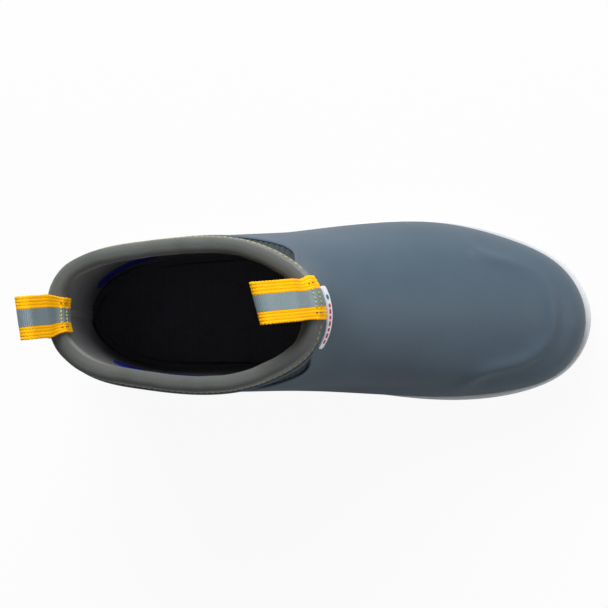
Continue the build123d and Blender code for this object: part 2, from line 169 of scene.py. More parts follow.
def open_spline(points, knots, places):
    """Values at `places` of the natural cubic spline through `points`, whose parameters are `knots`."""
    n = len(points)
    steps = np.diff(knots)
    matrix = np.eye(n)
    rhs = np.zeros_like(points)
    for i in range(1, n - 1):
        matrix[i, i - 1 : i + 2] = steps[i - 1], 2 * (steps[i - 1] + steps[i]), steps[i]
        rhs[i] = 6 * ((points[i + 1] - points[i]) / steps[i] - (points[i] - points[i - 1]) / steps[i - 1])
    bends = np.linalg.solve(matrix, rhs.reshape(n, -1)).reshape(points.shape)
    cell = np.clip(np.searchsorted(knots, places, side="right") - 1, 0, n - 2)
    return spline_values(points[:-1], points[1:], bends[:-1], bends[1:], steps, knots, cell, places)


class Surface:
    """A smooth surface held as a dense grid of points, with a normal at each."""

    def __init__(self, points, closed):
        self.closed = closed
        self.points = points
        if closed:
            wide = np.concatenate([points[:, -1:], points, points[:, :1]], axis=1)
            around = np.gradient(wide, axis=1)[:, 1:-1]
        else:
            around = np.gradient(points, axis=1)
        along = np.gradient(points, axis=0)
        normals = np.cross(around, along)
        self.normals = normals / np.linalg.norm(normals, axis=2, keepdims=True)

    def sample(self, grid, row, column):
        """Grid values at fractional rows and columns."""
        rows, columns = grid.shape[:2]
        row = np.clip(row, 0, rows - 1.0001)
        r = row.astype(int)
        row_part = (row - r)[..., None]
        if self.closed:
            column = np.mod(column, columns)
            c = column.astype(int) % columns
            c_next = (c + 1) % columns
            column_part = (column - np.floor(column))[..., None]
        else:
            column = np.clip(column, 0, columns - 1.0001)
            c = column.astype(int)
            c_next = c + 1
            column_part = (column - c)[..., None]
        low = grid[r, c] * (1 - column_part) + grid[r, c_next] * column_part
        high = grid[r + 1, c] * (1 - column_part) + grid[r + 1, c_next] * column_part
        return low * (1 - row_part) + high * row_part

    def lift(self, row, column, out):
        """Points that stand off the surface by `out` along its normals."""
        row, column, out = np.broadcast_arrays(*(np.asarray(a, float) for a in (row, column, out)))
        return self.sample(self.points, row, column) + self.sample(self.normals, row, column) * out[..., None]


class Last(Surface):
    """The boot's outer surface, read by share of the way round, from the heel, and by height."""

    ROWS, COLUMNS = 620, 900

    def __init__(self):
        rings = np.array([closed_spline(level_points(level), self.COLUMNS) for level in LEVELS])
        gap_shade = np.linalg.norm(np.diff(rings, axis=0), axis=2).mean(axis=1)
        knots = np.concatenate([[0], np.cumsum(gap_shade)])
        super().__init__(open_spline(rings, knots, np.linspace(0, knots[-1], self.ROWS)), True)
        self.heights = self.points[:, 0, 2]

    def row(self, height):
        """The grid row at a height."""
        return np.interp(height, self.heights, np.arange(self.ROWS))

    def at(self, share, height, out=0.0):
        """Points on the last, standing off by `out`."""
        return self.lift(self.row(height), np.asarray(share, float) * self.COLUMNS, out)

    def share_at(self, height, axis, value, low, high):
        """Share between low and high where the ring at a height has a value of x (0) or y (1)."""
        shares = np.linspace(low, high, 240)
        values = self.at(shares, np.full(240, float(height)))[:, axis]
        order = np.argsort(values)
        return float(np.interp(value, values[order], shares[order]))


LAST = Last()


def ring_length(height, out=0.0):
    """Length round the last at one height."""
    ring = LAST.at(np.linspace(0, 1, 400), np.full(400, height), out)
    return float(np.linalg.norm(np.diff(ring, axis=0), axis=1).sum())


# ---- Mesh helpers ---------------------------------------------------------------------------------


def clear_selection():
    """Leaves edit mode and deselects everything."""
    if bpy.context.object and bpy.context.object.mode != "OBJECT":
        bpy.ops.object.mode_set(mode="OBJECT")
    bpy.ops.object.select_all(action="DESELECT")


def pick(piece):
    """Makes one object the only selected and active one."""
    clear_selection()
    piece.select_set(True)
    bpy.context.view_layer.objects.active = piece


def edit(piece, *steps):
    """Runs edit-mode steps on the whole of a piece's mesh."""
    pick(piece)
    bpy.ops.object.mode_set(mode="EDIT")
    bpy.ops.mesh.select_all(action="SELECT")
    for step in steps:
        step()
    bpy.ops.object.mode_set(mode="OBJECT")


def merge():
    """Welds coincident vertices."""
    bpy.ops.mesh.remove_doubles(threshold=2e-6)


def face_out():
    """Turns every face outwards."""
    bpy.ops.mesh.normals_make_consistent(inside=False)


def fill_holes():
    """Closes open ends."""
    bpy.ops.mesh.fill_holes(sides=0)


def modify(piece, kind, **values):
    """Adds a modifier, sets it and applies it."""
    pick(piece)
    modifier = piece.modifiers.new(kind.title(), kind)
    for key, value in values.items():
        setattr(modifier, key, value)
    bpy.ops.object.modifier_apply(modifier=modifier.name)


def smooth(piece, degrees=35):
    """Smooth shading, sharp past an angle."""
    pick(piece)
    bpy.ops.object.shade_smooth_by_angle(angle=math.radians(degrees))


def laid_grid(name, columns, rows, place, measure=None):
    """A grid primitive laid on a surface: place(u, v) gives points for u and v from 0 to 1.

    measure(u, v) gives the UV coordinates, in metres along the surface.
    """
    clear_selection()
    bpy.ops.mesh.primitive_grid_add(x_subdivisions=columns, y_subdivisions=rows, size=2.0)
    piece = bpy.context.object
    piece.name = piece.data.name = name
    mesh = piece.data
    flat = np.zeros(len(mesh.vertices) * 3)
    mesh.vertices.foreach_get("co", flat)
    flat = flat.reshape(-1, 3)
    u, v = (flat[:, 0] + 1) / 2, (flat[:, 1] + 1) / 2
    mesh.vertices.foreach_set("co", place(u, v).astype(np.float32).ravel())
    if measure is not None:
        corners = np.zeros(len(mesh.loops), dtype=np.int32)
        mesh.loops.foreach_get("vertex_index", corners)
        layer = mesh.uv_layers[0]
        layer.name = "lie"
        uv = np.stack(measure(u, v), axis=1)[corners]
        layer.data.foreach_set("uv", uv.astype(np.float32).ravel())
    mesh.update()
    return piece


def join(pieces, name):
    """Joins meshes into one piece."""
    clear_selection()
    for piece in pieces:
        piece.select_set(True)
    bpy.context.view_layer.objects.active = pieces[0]
    bpy.ops.object.join()
    pieces[0].name = pieces[0].data.name = name
    return pieces[0]


def dress(piece, material, body=BOOT, nodes=()):
    """Gives a piece its finish and its place in the frame."""
    piece.data.materials.clear()
    piece.data.materials.append(bpy.data.materials[material])
    if body:
        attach(piece, body)
    if nodes:
        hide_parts(*nodes)


def thread_stitch():
    """One stitch: a short thread that dips into the cloth at both ends, along X, with its middle at 0."""
    clear_selection()
    bpy.ops.mesh.primitive_uv_sphere_add(segments=8, ring_count=6, radius=1.0)
    stitch = bpy.context.object
    edit(stitch, lambda: bpy.ops.transform.rotate(
        value=math.pi / 2, orient_axis="Y", center_override=(0, 0, 0)))
    return stitch


def stitch_row(name, seats, length, width, height):
    """Copies of one stitch on seats of (point, along, out)."""
    master = thread_stitch()
    count = len(master.data.vertices)
    shape = np.zeros(count * 3)
    master.data.vertices.foreach_get("co", shape)
    shape = shape.reshape(-1, 3) * (length / 2, width / 2, height / 2)
    copies = []
    for point, along, out in seats:
        across = np.cross(out, along)
        copy = master.copy()
        copy.data = master.data.copy()
        bpy.context.collection.objects.link(copy)
        placed = point + shape @ np.array([along, across, out])
        copy.data.vertices.foreach_set("co", placed.astype(np.float32).ravel())
        copies.append(copy)
    bpy.data.objects.remove(master)
    row = join(copies, name)
    smooth(row, 60)
    return row


def unit(vector):
    """A vector of length one."""
    return vector / np.linalg.norm(vector)


def read_rows(table, share):
    """A table's columns, read at shares of the way down its rows."""
    index = share * (len(table) - 1)
    return [np.interp(index, np.arange(len(table)), column) for column in table.T]


def sheet(piece, thickness, offset, degrees):
    """Gives a laid grid its thickness and smooth shading."""
    modify(piece, "SOLIDIFY", thickness=thickness, offset=offset)
    edit(piece, face_out)
    smooth(piece, degrees)


def tube(piece):
    """Closes a laid grid that is rolled into a tube, and shades it smooth."""
    edit(piece, merge, fill_holes, face_out)
    smooth(piece, 60)


# ---- Finishes -------------------------------------------------------------------------------------
TAB_WIDTH, TAPE_WIDTH = 0.022, 0.0086
RIB_PITCH = (TAB_WIDTH - TAPE_WIDTH) / 2 / 4
WEFT_PITCH = 0.0013
TAPE_RIB_PITCH = 0.0008
FOXING_LINE_PITCH = 0.0016


class Nodes:
    """Short-hand for building a node tree."""

    def __init__(self, tree):
        self.tree = tree

    def add(self, kind, links=None, **values):
        """A node with attributes set and inputs given as values or as other nodes' sockets."""
        node = self.tree.nodes.new(kind)
        for key, value in values.items():
            setattr(node, key, value)
        for key, value in (links or {}).items():
            self.feed(node.inputs[key], value)
        return node

    def feed(self, socket, value):
        """Gives an input a value, or links another node's socket to it."""
        if isinstance(value, bpy.types.NodeSocket):
            self.tree.links.new(value, socket)
        else:
            socket.default_value = value

    def group(self, name, links):
        """The outputs of a placed copy of a shared group."""
        return self.add("ShaderNodeGroup", links, node_tree=bpy.data.node_groups[name]).outputs

    def noise(self, vector, scale, detail, **links):
        """Noise at each place."""
        links = {"Vector": vector, "Scale": scale, "Detail": detail, **links}
        return self.add("ShaderNodeTexNoise", links).outputs[0]

    def wave(self, value, turn=math.pi):
        """The size of a sine, which is zero at every whole value when a turn is pi."""
        return self.math("ABSOLUTE", self.math("SINE", self.math("MULTIPLY", value, turn)))

    def math(self, operation, a, b=0.0, c=0.0):
        """A Math node's result."""
        return self.add("ShaderNodeMath", {0: a, 1: b, 2: c}, operation=operation).outputs[0]

    def mix(self, share, a, b):
        """A mixed colour."""
        return self.add("ShaderNodeMix", {0: share, 6: a, 7: b}, data_type="RGBA").outputs[2]

    def ramp(self, value, low, high, to_low=0.0, to_high=1.0):
        """A value mapped smoothly from one range to another."""
        links = {0: value, 1: low, 2: high, 3: to_low, 4: to_high}
        return self.add("ShaderNodeMapRange", links, interpolation_type="SMOOTHSTEP").outputs[0]


def new_group(name, inputs, outputs):
    """An empty node group with named sockets; returns its node helper and its two ends."""
    tree = bpy.data.node_groups.new(name, "ShaderNodeTree")
    for label, kind, default in inputs:
        socket = tree.interface.new_socket(label, in_out="INPUT", socket_type="NodeSocket" + kind)
        if default is not None:
            socket.default_value = default
    for label, kind in outputs:
        tree.interface.new_socket(label, in_out="OUTPUT", socket_type="NodeSocket" + kind)
    nodes = Nodes(tree)
    return nodes, nodes.add("NodeGroupInput").outputs, nodes.add("NodeGroupOutput").inputs


def build_grain_group():
    """Moulded rubber: fine grain, slow cloudy colour change and a little rubbed dust."""
    n, given, result = new_group(
        "moulded_grain",
        [
            ("Vector", "Vector", None),
            ("Colour", "Color", (0.1, 0.1, 0.1, 1)),
            ("Cloud Colour", "Color", (0.1, 0.1, 0.1, 1)),
            ("Cloud", "Float", 0.5),
            ("Grain", "Float", 1500.0),
            ("Roughness", "Float", 0.5),
        ],
        [("Colour", "Color"), ("Roughness", "Float"), ("Height", "Float")],
    )
    fine = n.noise(given["Vector"], given["Grain"], 3.0)
    slow = n.noise(given["Vector"], 22.0, 4.0, Roughness=0.6)
    cloud = n.math("MULTIPLY", n.ramp(slow, 0.35, 0.7), given["Cloud"])
    shade = n.math("ADD", cloud, n.math("MULTIPLY", n.ramp(fine, 0.55, 0.75), 0.16))
    n.feed(result["Colour"], n.mix(shade, given["Colour"], given["Cloud Colour"]))
    change = n.math("MULTIPLY", n.math("SUBTRACT", slow, 0.5), 0.16)
    n.feed(result["Roughness"], n.math("ADD", given["Roughness"], change))
    n.feed(result["Height"], fine)


def build_weave_group():
    """Plain weave: threads crossing over and under, as height and as a mask of painted shade in the gaps between
    threads.
    """
    n, given, result = new_group(
        "woven_threads",
        [("Vector", "Vector", None), ("Across", "Float", 0.0012), ("Along", "Float", 0.0012)],
        [("Height", "Float"), ("Gap Shade", "Float")],
    )
    parts = n.add("ShaderNodeSeparateXYZ", {0: given["Vector"]}).outputs
    a = n.math("MULTIPLY", n.math("DIVIDE", parts[0], given["Across"]), math.pi)
    b = n.math("MULTIPLY", n.math("DIVIDE", parts[1], given["Along"]), math.pi)
    warp, weft = n.wave(a, 1.0), n.wave(b, 1.0)
    half_a, half_b = (n.math("SINE", n.math("MULTIPLY", angle, 0.5)) for angle in (a, b))
    over = n.ramp(n.math("MULTIPLY", half_a, half_b), -0.25, 0.25)
    height = n.add("ShaderNodeMix", {0: over, 2: warp, 3: weft}, data_type="FLOAT").outputs[0]
    n.feed(result["Height"], height)
    n.feed(result["Gap Shade"], n.ramp(n.math("MULTIPLY", warp, weft), 0.0, 0.35, 1.0, 0.0))


def build_fuzz_group():
    """Cloth colour: thread-to-thread change, painted shade in the gaps between threads and faint soiling."""
    n, given, result = new_group(
        "cloth_tone",
        [
            ("Vector", "Vector", None),
            ("Colour", "Color", (0.1, 0.1, 0.1, 1)),
            ("Shade And Soil Colour", "Color", (0.02, 0.02, 0.02, 1)),
            ("Gap Shade", "Float", 0.0),
            ("Soil", "Float", 0.2),
        ],
        [("Colour", "Color")],
    )
    fibre = n.noise(given["Vector"], 2600.0, 2.0)
    soil = n.ramp(n.noise(given["Vector"], 60.0, 3.0), 0.45, 0.75)
    # Painted shade in the thread gaps and faint soiling both darken the cloth towards its dark colour.
    dark = n.math("ADD", given["Gap Shade"], n.math("MULTIPLY", soil, given["Soil"]))
    dark = n.math("ADD", dark, n.math("MULTIPLY", n.math("SUBTRACT", fibre, 0.5), 0.35))
    share = n.add("ShaderNodeClamp", {0: dark}).outputs[0]
    n.feed(result["Colour"], n.mix(share, given["Colour"], given["Shade And Soil Colour"]))


def start_material(name):
    """A new material: its node helper, its Principled inputs and its texture coordinates."""
    material = bpy.data.materials.new(name)
    material.use_nodes = True
    n = Nodes(material.node_tree)
    return n, n.tree.nodes["Principled BSDF"].inputs, n.add("ShaderNodeTexCoord").outputs


def bump(n, shader, height, distance):
    """Feeds a height into the shader's normal."""
    links = {"Height": height, "Distance": distance, "Strength": 1.0}
    n.feed(shader["Normal"], n.add("ShaderNodeBump", links).outputs[0])


def opaque(colour, factor=1.0):
    """A colour with full alpha, made darker or paler by a factor."""
    return (*(channel * factor for channel in colour[:3]), 1.0)


def rubber_material(name, colour, cloud_colour, cloud, grain, roughness, depth, specular=0.5, sheen=0.0):
    """A moulded rubber finish on object coordinates."""
    n, shader, coordinates = start_material(name)
    links = {"Vector": coordinates["Object"], "Colour": opaque(colour), "Cloud Colour": opaque(cloud_colour),
             "Cloud": cloud, "Grain": grain, "Roughness": roughness}
    grained = n.group("moulded_grain", links)
    n.feed(shader["Base Color"], grained["Colour"])
    n.feed(shader["Roughness"], grained["Roughness"])
    n.feed(shader["Specular IOR Level"], specular)
    n.feed(shader["Sheen Weight"], sheen)
    bump(n, shader, grained["Height"], depth)
    return n, shader, coordinates, grained


def cloth_tone(n, coordinates, colour, shade_and_soil, gap_shade, soil):
    """A cloth's colour at each place, with painted shade in its gaps."""
    links = {"Vector": coordinates["Object"], "Colour": colour, "Shade And Soil Colour": shade_and_soil,
             "Gap Shade": gap_shade, "Soil": soil}
    return n.group("cloth_tone", links)["Colour"]


def cloth_material(name, colour, shade_and_soil, pitch, depth, soil=0.2, roughness=0.85, sheen=0.25, layer="UV"):
    """A woven finish that follows the piece's own UV map, or object coordinates."""
    n, shader, coordinates = start_material(name)
    weave = n.group("woven_threads", {"Vector": coordinates[layer], "Across": pitch[0], "Along": pitch[1]})
    # The gaps between threads are darkened: painted shade.
    gap_shade = n.math("MULTIPLY", weave["Gap Shade"], 0.6)
    n.feed(shader["Base Color"], cloth_tone(n, coordinates, opaque(colour), opaque(shade_and_soil), gap_shade, soil))
    n.feed(shader["Roughness"], roughness)
    n.feed(shader["Sheen Weight"], sheen)
    n.feed(shader["Sheen Roughness"], 0.4)
    bump(n, shader, weave["Height"], depth)


def colour_setting(label, description, value):
    """A colour for the panel."""
    return bpy.props.FloatVectorProperty(
        name=label, description=description, subtype="COLOR", size=3, min=0, max=1, default=value
    )


def length_setting(label, description, value):
    """A length for the panel."""
    return bpy.props.FloatProperty(
        name=label, description=description, default=value, unit="LENGTH", precision=4)


class DeckBootColours(bpy.types.PropertyGroup):
    """Colours of the boot's finishes."""

    upper: colour_setting("Upper", "Rubber of the upper", (0.050, 0.077, 0.105))
    upper_cloud: colour_setting("Upper Bloom", "Paler bloom on the upper's rubber", (0.064, 0.094, 0.124))
    gore: colour_setting("Stretch Panels", "Ribbed rubber of the stretch panels", (0.016, 0.024, 0.028))
    rim: colour_setting("Sole", "White rubber of the sole and foxing", (0.585, 0.600, 0.622))
    binding: colour_setting("Binding", "Cloth of the collar binding", (0.080, 0.087, 0.081))
    sock: colour_setting("Sock", "Knit face of the sock", (0.130, 0.128, 0.134))
    webbing: colour_setting("Webbing", "Yellow of the pull tabs", (1.0, 0.485, 0.0))
    tape: colour_setting("Reflective Tape", "Grey of the reflective tape", (0.235, 0.305, 0.330))


class DeckBootSizes(bpy.types.PropertyGroup):
    """Sizes of the boot's visible pieces."""

    upper_wall: length_setting("Upper Wall", "Thickness of the upper's rubber", 0.0022)
    crease_height: length_setting("Toe Crease", "Height of the soft crease over the toe", 0.0017)
    rib_pitch: length_setting("Panel Ribs", "Spacing of the stretch panels' ribs", 0.0030)
    rib_height: length_setting("Panel Rib Height", "Height of the stretch panels' ribs", 0.0005)
    stitch_pitch: length_setting("Stitch Pitch", "Spacing of the collar stitches", 0.0030)
    webbing_thickness: length_setting("Webbing", "Thickness of the pull tabs' webbing", 0.0014)


class DeckBootOperator(bpy.types.Operator):
    """What the boot's operators share."""

    bl_options = {"REGISTER", "UNDO"}

    def sizes(self):
        """The scene's sizes."""
        return bpy.context.scene.deck_boot_sizes

    def colours(self):
        """The scene's colours."""
        return bpy.context.scene.deck_boot_colours


class DECKBOOT_OT_finishes(DeckBootOperator):
    """Make every finish and put it on the CAD pieces that stay"""

    bl_idname = "deck_boot.finishes"
    bl_label = "Finishes"

    def execute(self, context):
        colours = self.colours()
        build_grain_group()
        build_weave_group()
        build_fuzz_group()
        self.rubbers(colours)
        self.cloths(colours)
        for item in frame["record"]["subparts"]:
            node = frame["nodes"][item["node"]]
            for socket in node.material_slots:
                socket.material = bpy.data.materials[item["material_slot"] + "_finish"]
        return {"FINISHED"}

    def rubbers(self, colours):
        """Finishes of the moulded pieces."""
        gore, white = colours.gore, colours.rim
        # name, colour, cloud colour, cloud, grain, roughness, depth of the grain
        for row in (
            ("gore_rubber", gore, opaque(gore, 1.7), 0.3, 1500.0, 0.62, 0.0001, 0.28),
            ("sole_rubber", opaque(white, 0.97), opaque(white, 0.86), 0.6, 900.0, 0.62, 0.00012),
            ("midsole_foam", (0.50, 0.51, 0.52), (0.44, 0.45, 0.46), 0.5, 700.0, 0.8, 0.0003),
            ("stiffener", (0.030, 0.030, 0.032), (0.045, 0.045, 0.047), 0.5, 600.0, 0.75, 0.0002),
            ("footbed_foam", (0.105, 0.105, 0.118), (0.120, 0.120, 0.135), 0.5, 1100.0, 0.85, 0.0003),
            ("board", (0.34, 0.27, 0.19), (0.28, 0.22, 0.15), 0.6, 500.0, 0.85, 0.0002),
            ("label_rubber", (0.74, 0.76, 0.80), (0.66, 0.68, 0.72), 0.4, 1400.0, 0.38, 0.00004),
            ("label_print", (0.50, 0.020, 0.035), (0.40, 0.018, 0.030), 0.5, 1600.0, 0.45, 0.00003),
            ("label_dot", (0.030, 0.110, 0.260), (0.024, 0.090, 0.220), 0.5, 1600.0, 0.45, 0.00003),
            ("sock_print", (0.016, 0.024, 0.42), (0.022, 0.034, 0.50), 0.5, 1500.0, 0.55, 0.0001),
            ("upper_rubber", colours.upper, colours.upper_cloud, 0.45, 1300.0, 0.52, 0.00010, 0.32, 0.05),
        ):
            rubber_material(row[0] + "_finish", *row[1:])
        self.foxing(white)
        self.steel()

    def foxing(self, white):
        """The foxing's rubber, with fine moulded lines round it."""
        n, shader, coordinates, grained = rubber_material(
            "foxing_rubber_finish", white, opaque(white, 0.93), 0.5, 900.0, 0.55, 0.00008
        )
        height = n.add("ShaderNodeSeparateXYZ", {0: coordinates["Object"]}).outputs[2]
        line = n.math("SINE", n.math("MULTIPLY", height, 2 * math.pi / FOXING_LINE_PITCH))
        bump(n, shader, n.math("ADD", n.math("MULTIPLY", line, 0.8), grained["Height"]), 0.00012)

    def steel(self):
        """Brushed steel for the shank."""
        n, shader, coordinates = start_material("shank_steel_finish")
        stretch = n.add("ShaderNodeMapping", {0: coordinates["Object"], 3: (60, 2600, 2600)}).outputs[0]
        brush = n.noise(stretch, 1.0, 4.0)
        n.feed(shader["Base Color"], n.mix(brush, (0.42, 0.43, 0.44, 1), (0.58, 0.59, 0.60, 1)))
        n.feed(shader["Roughness"], n.ramp(brush, 0.2, 0.8, 0.28, 0.45))
        n.feed(shader["Metallic"], 1.0)
        bump(n, shader, brush, 0.00003)

    def cloths(self, colours):
        """Finishes of the woven, knitted and sewn pieces."""
        binding, sock = colours.binding, colours.sock
        cloth_material("binding_fabric_finish", binding, opaque(binding, 0.35), (0.00062, 0.00062), 0.00012,
                       soil=0.25, sheen=0.35)
        cloth_material("neoprene_finish", sock, opaque(sock, 0.5), (0.0009, 0.0006), 0.00008, soil=0.3,
                       roughness=0.9, sheen=0.15)
        cloth_material("footbed_fabric_finish", (0.150, 0.150, 0.168), (0.070, 0.070, 0.082), (0.0014, 0.0014),
                       0.00015, roughness=0.95, sheen=0.05)
        for name, colour, shade_and_soil in (
            ("olive_thread_finish", (0.50, 0.44, 0.14), (0.16, 0.14, 0.04)),
            ("tab_thread_finish", (0.62, 0.54, 0.10), (0.16, 0.14, 0.03)),
            ("shadow_thread_finish", (0.10, 0.095, 0.06), (0.03, 0.03, 0.02)),
        ):
            cloth_material(name, colour, shade_and_soil, (0.0004, 0.0004), 0.00005, layer="Object")
        self.webbing(colours.webbing)
        self.reflective(colours.tape)

    def webbing(self, yellow):
        """Ribbed webbing: painted shade between its lengthwise ribs and between the slanted thread marks on them.
        """
        n, shader, coordinates = start_material("webbing_finish")
        parts = n.add("ShaderNodeSeparateXYZ", {0: coordinates["UV"]}).outputs
        inside = n.math("SUBTRACT", n.math("ABSOLUTE", parts[0]), TAPE_WIDTH / 2)
        turns = n.math("DIVIDE", inside, RIB_PITCH)
        lean = n.math("MULTIPLY", n.math("PINGPONG", turns, 1.0), 0.9)
        thread = n.wave(n.math("ADD", n.math("DIVIDE", parts[1], WEFT_PITCH), lean))
        rib = n.ramp(n.wave(turns), 0.0, 0.45, 0.55, 1.0)
        woven = n.math("MULTIPLY", rib, n.ramp(thread, 0.0, 0.5, 0.45, 1.0))
        # Painted shade: the grooves between ribs and threads are darkened towards a deeper orange.
        shade_and_soil = (yellow[0] * 0.93, yellow[1] * 0.66, yellow[2], 1.0)
        gap_shade = n.math("SUBTRACT", 1.0, woven)
        n.feed(shader["Base Color"], cloth_tone(n, coordinates, opaque(yellow), shade_and_soil, gap_shade, 0.05))
        n.feed(shader["Roughness"], 0.7)
        n.feed(shader["Specular IOR Level"], 0.15)
        bump(n, shader, woven, 0.00018)

    def reflective(self, grey):
        """Reflective tape with fine ribs across it."""
        n, shader, coordinates = start_material("reflective_tape_finish")
        parts = n.add("ShaderNodeSeparateXYZ", {0: coordinates["UV"]}).outputs
        rib = n.ramp(n.wave(parts[1], math.pi / TAPE_RIB_PITCH), 0.0, 0.45)
        cross = n.ramp(n.wave(parts[0], math.pi / 0.0011), 0.0, 0.3, 0.75, 1.0)
        grains = n.noise(coordinates["Object"], 900.0, 3.0)
        pattern = n.math("MULTIPLY", n.math("MULTIPLY", rib, cross), n.ramp(grains, 0.25, 0.7, 0.8, 1.0))
        n.feed(shader["Base Color"], n.mix(pattern, opaque(grey, 0.55), opaque(grey)))
        n.feed(shader["Metallic"], 0.25)
        n.feed(shader["Roughness"], n.ramp(grains, 0.3, 0.7, 0.42, 0.58))
        bump(n, shader, pattern, 0.00012)


# ---- Upper ----------------------------------------------------------------------------------------
UPPER_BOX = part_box("upper_shell")
UPPER_FOOT, UPPER_TOP = UPPER_BOX[0][2], UPPER_BOX[1][2]
# The crease over the toe, seen from above: a horseshoe that is open towards the ankle.
TOE_CREASE = np.array(
    [(83.0, -46.0), (90.0, -41.0), (100.9, -33.3), (115.7, -29.3), (128.0, -25.5), (137.0, -18.0),
     (141.8, -8.0), (142.3, 4.0), (139.5, 13.5), (133.5, 21.0), (123.0, 27.2), (109.4, 31.1), (99.7, 34.2),
     (94.0, 39.5), (89.0, 50.0)]
) * MM
# Each stretch panel's opening, seen from the side: front and rear at the collar.
WINDOWS = {"outer": (-0.0035, -0.112), "inner": (0.0045, -0.114)}
WINDOW_SILL, WINDOW_ROUND = 0.114, 0.008
SIDE_SHARES = {"outer": (0.5, 1.0), "inner": (0.0, 0.5)}
SIDES = {"outer": 1, "inner": -1}
CREASE_WIDTH, CREASE_FADE = 0.0036, 0.16
LIP_HALF_WIDTH, LIP_RISE = 0.0013, 0.0008
PANEL_FACE, PANEL_OVERLAP = -0.0012, 0.0015


def upper_heights():
    """Heights of the upper's rings, closer together where the vamp is flat."""
    return np.concatenate([
        np.linspace(UPPER_FOOT, 0.026, 6)[:-1],
        np.linspace(0.026, 0.046, 16)[:-1],
        np.linspace(0.046, 0.078, 46)[:-1],
        np.linspace(0.078, UPPER_TOP, 46),
    ])


def spread(values, share):
    """A list's value at shares of the way along it."""
    return np.interp(share, np.linspace(0, 1, len(values)), values)


def upper_shares():
    """Shares round the upper, closer together over the toe."""
    return np.concatenate([
        np.linspace(0.0, 0.30, 56)[:-1],
        np.linspace(0.30, 0.70, 150)[:-1],
        np.linspace(0.70, 1.0, 57),
    ])


def distance_to_line(points, line):
    """Signed distance of plan points to a line of points (positive to its right), and the share along it."""
    best = np.full(len(points), 1e9)
    side = np.zeros(len(points))
    share = np.zeros(len(points))
    starts = run_lengths(line)
    lengths = np.diff(starts)
    for i, (a, b) in enumerate(zip(line[:-1], line[1:])):
        d = b - a
        t = np.clip(((points - a) @ d) / (d @ d), 0, 1)
        offset = points - (a + t[:, None] * d)
        gap = np.linalg.norm(offset, axis=1)
        nearer = gap < best
        best = np.where(nearer, gap, best)
        side = np.where(nearer, np.sign(offset[:, 0] * d[1] - offset[:, 1] * d[0]), side)
        share = np.where(nearer, (starts[i] + t * lengths[i]) / starts[-1], share)
    return best * side, share


def crease_lift(points, height):
    """How far the toe crease lifts the rubber at plan points: a ridge, with a shallow dip outside it."""
    knots = np.arange(len(TOE_CREASE), dtype=float)
    line = open_spline(TOE_CREASE, knots, np.linspace(0, knots[-1], 120))
    gap, share = distance_to_line(points[:, :2], line)
    ends = np.clip(np.minimum(share, 1 - share) / CREASE_FADE, 0, 1)
    ends = ends * ends * (3 - 2 * ends)
    ridge = np.exp(-((gap / CREASE_WIDTH) ** 2))
    dip = np.exp(-(((gap - 0.0075) / 0.0050) ** 2))
    inside = np.exp(-(((gap + 0.009) / 0.006) ** 2))
    fade = np.clip((points[:, 2] - 0.026) / 0.014, 0, 1)
    faint = 1 - 0.55 * np.exp(-(((share - 0.68) / 0.12) ** 2))
    return height * faint * ends * fade * (ridge - 0.55 * dip - 0.18 * inside)


def window_outline(name, grow=0.0):
    """A stretch panel's opening in side view, as (x, z) points, rounded at its lower corners."""
    front, rear = WINDOWS[name]
    corners = [(front - 0.013, 0.175), (front, 0.137), (front - 0.001, WINDOW_SILL + 0.001),
               (rear + 0.010, WINDOW_SILL), (rear, 0.142), (rear - 0.007, 0.175)]
    outline = [corners[0], corners[1]]
    for i in (2, 3):
        a, b, c = (np.array(corners[k]) for k in (i - 1, i, i + 1))
        into, out = unit(b - a), unit(c - b)
        turn = math.acos(float(np.clip(into @ out, -1, 1)))
        cut = WINDOW_ROUND * math.tan(turn / 2)
        centre = b - into * cut + np.array([-into[1], into[0]]) * -WINDOW_ROUND
        begin = b - into * cut - centre
        for step in range(13):
            angle = -turn * step / 12
            cos, sin = math.cos(angle), math.sin(angle)
            outline.append(tuple(centre + (begin[0] * cos - begin[1] * sin, begin[0] * sin + begin[1] * cos)))
    outline += [corners[4], corners[5]]
    outline = np.array(outline)
    middle = outline.mean(axis=0)
    return outline + grow * (outline - middle) / np.linalg.norm(outline - middle, axis=1, keepdims=True)


def even_points(line, count):
    """Evenly spaced points along a line of points."""
    lengths = run_lengths(line)
    places = np.linspace(0, lengths[-1], count)
    return np.stack([np.interp(places, lengths, column) for column in line.T], axis=1)


def window_path(name, count, top):
    """Evenly spaced (share, height) pairs along an opening's edge, from its front to its rear."""
    outline = window_outline(name)
    even = even_points(outline, 400)
    x, z = even_points(even[even[:, 1] < top], count).T
    shares = np.array([LAST.share_at(height, 0, value, *SIDE_SHARES[name]) for value, height in zip(x, z)])
    return shares, z


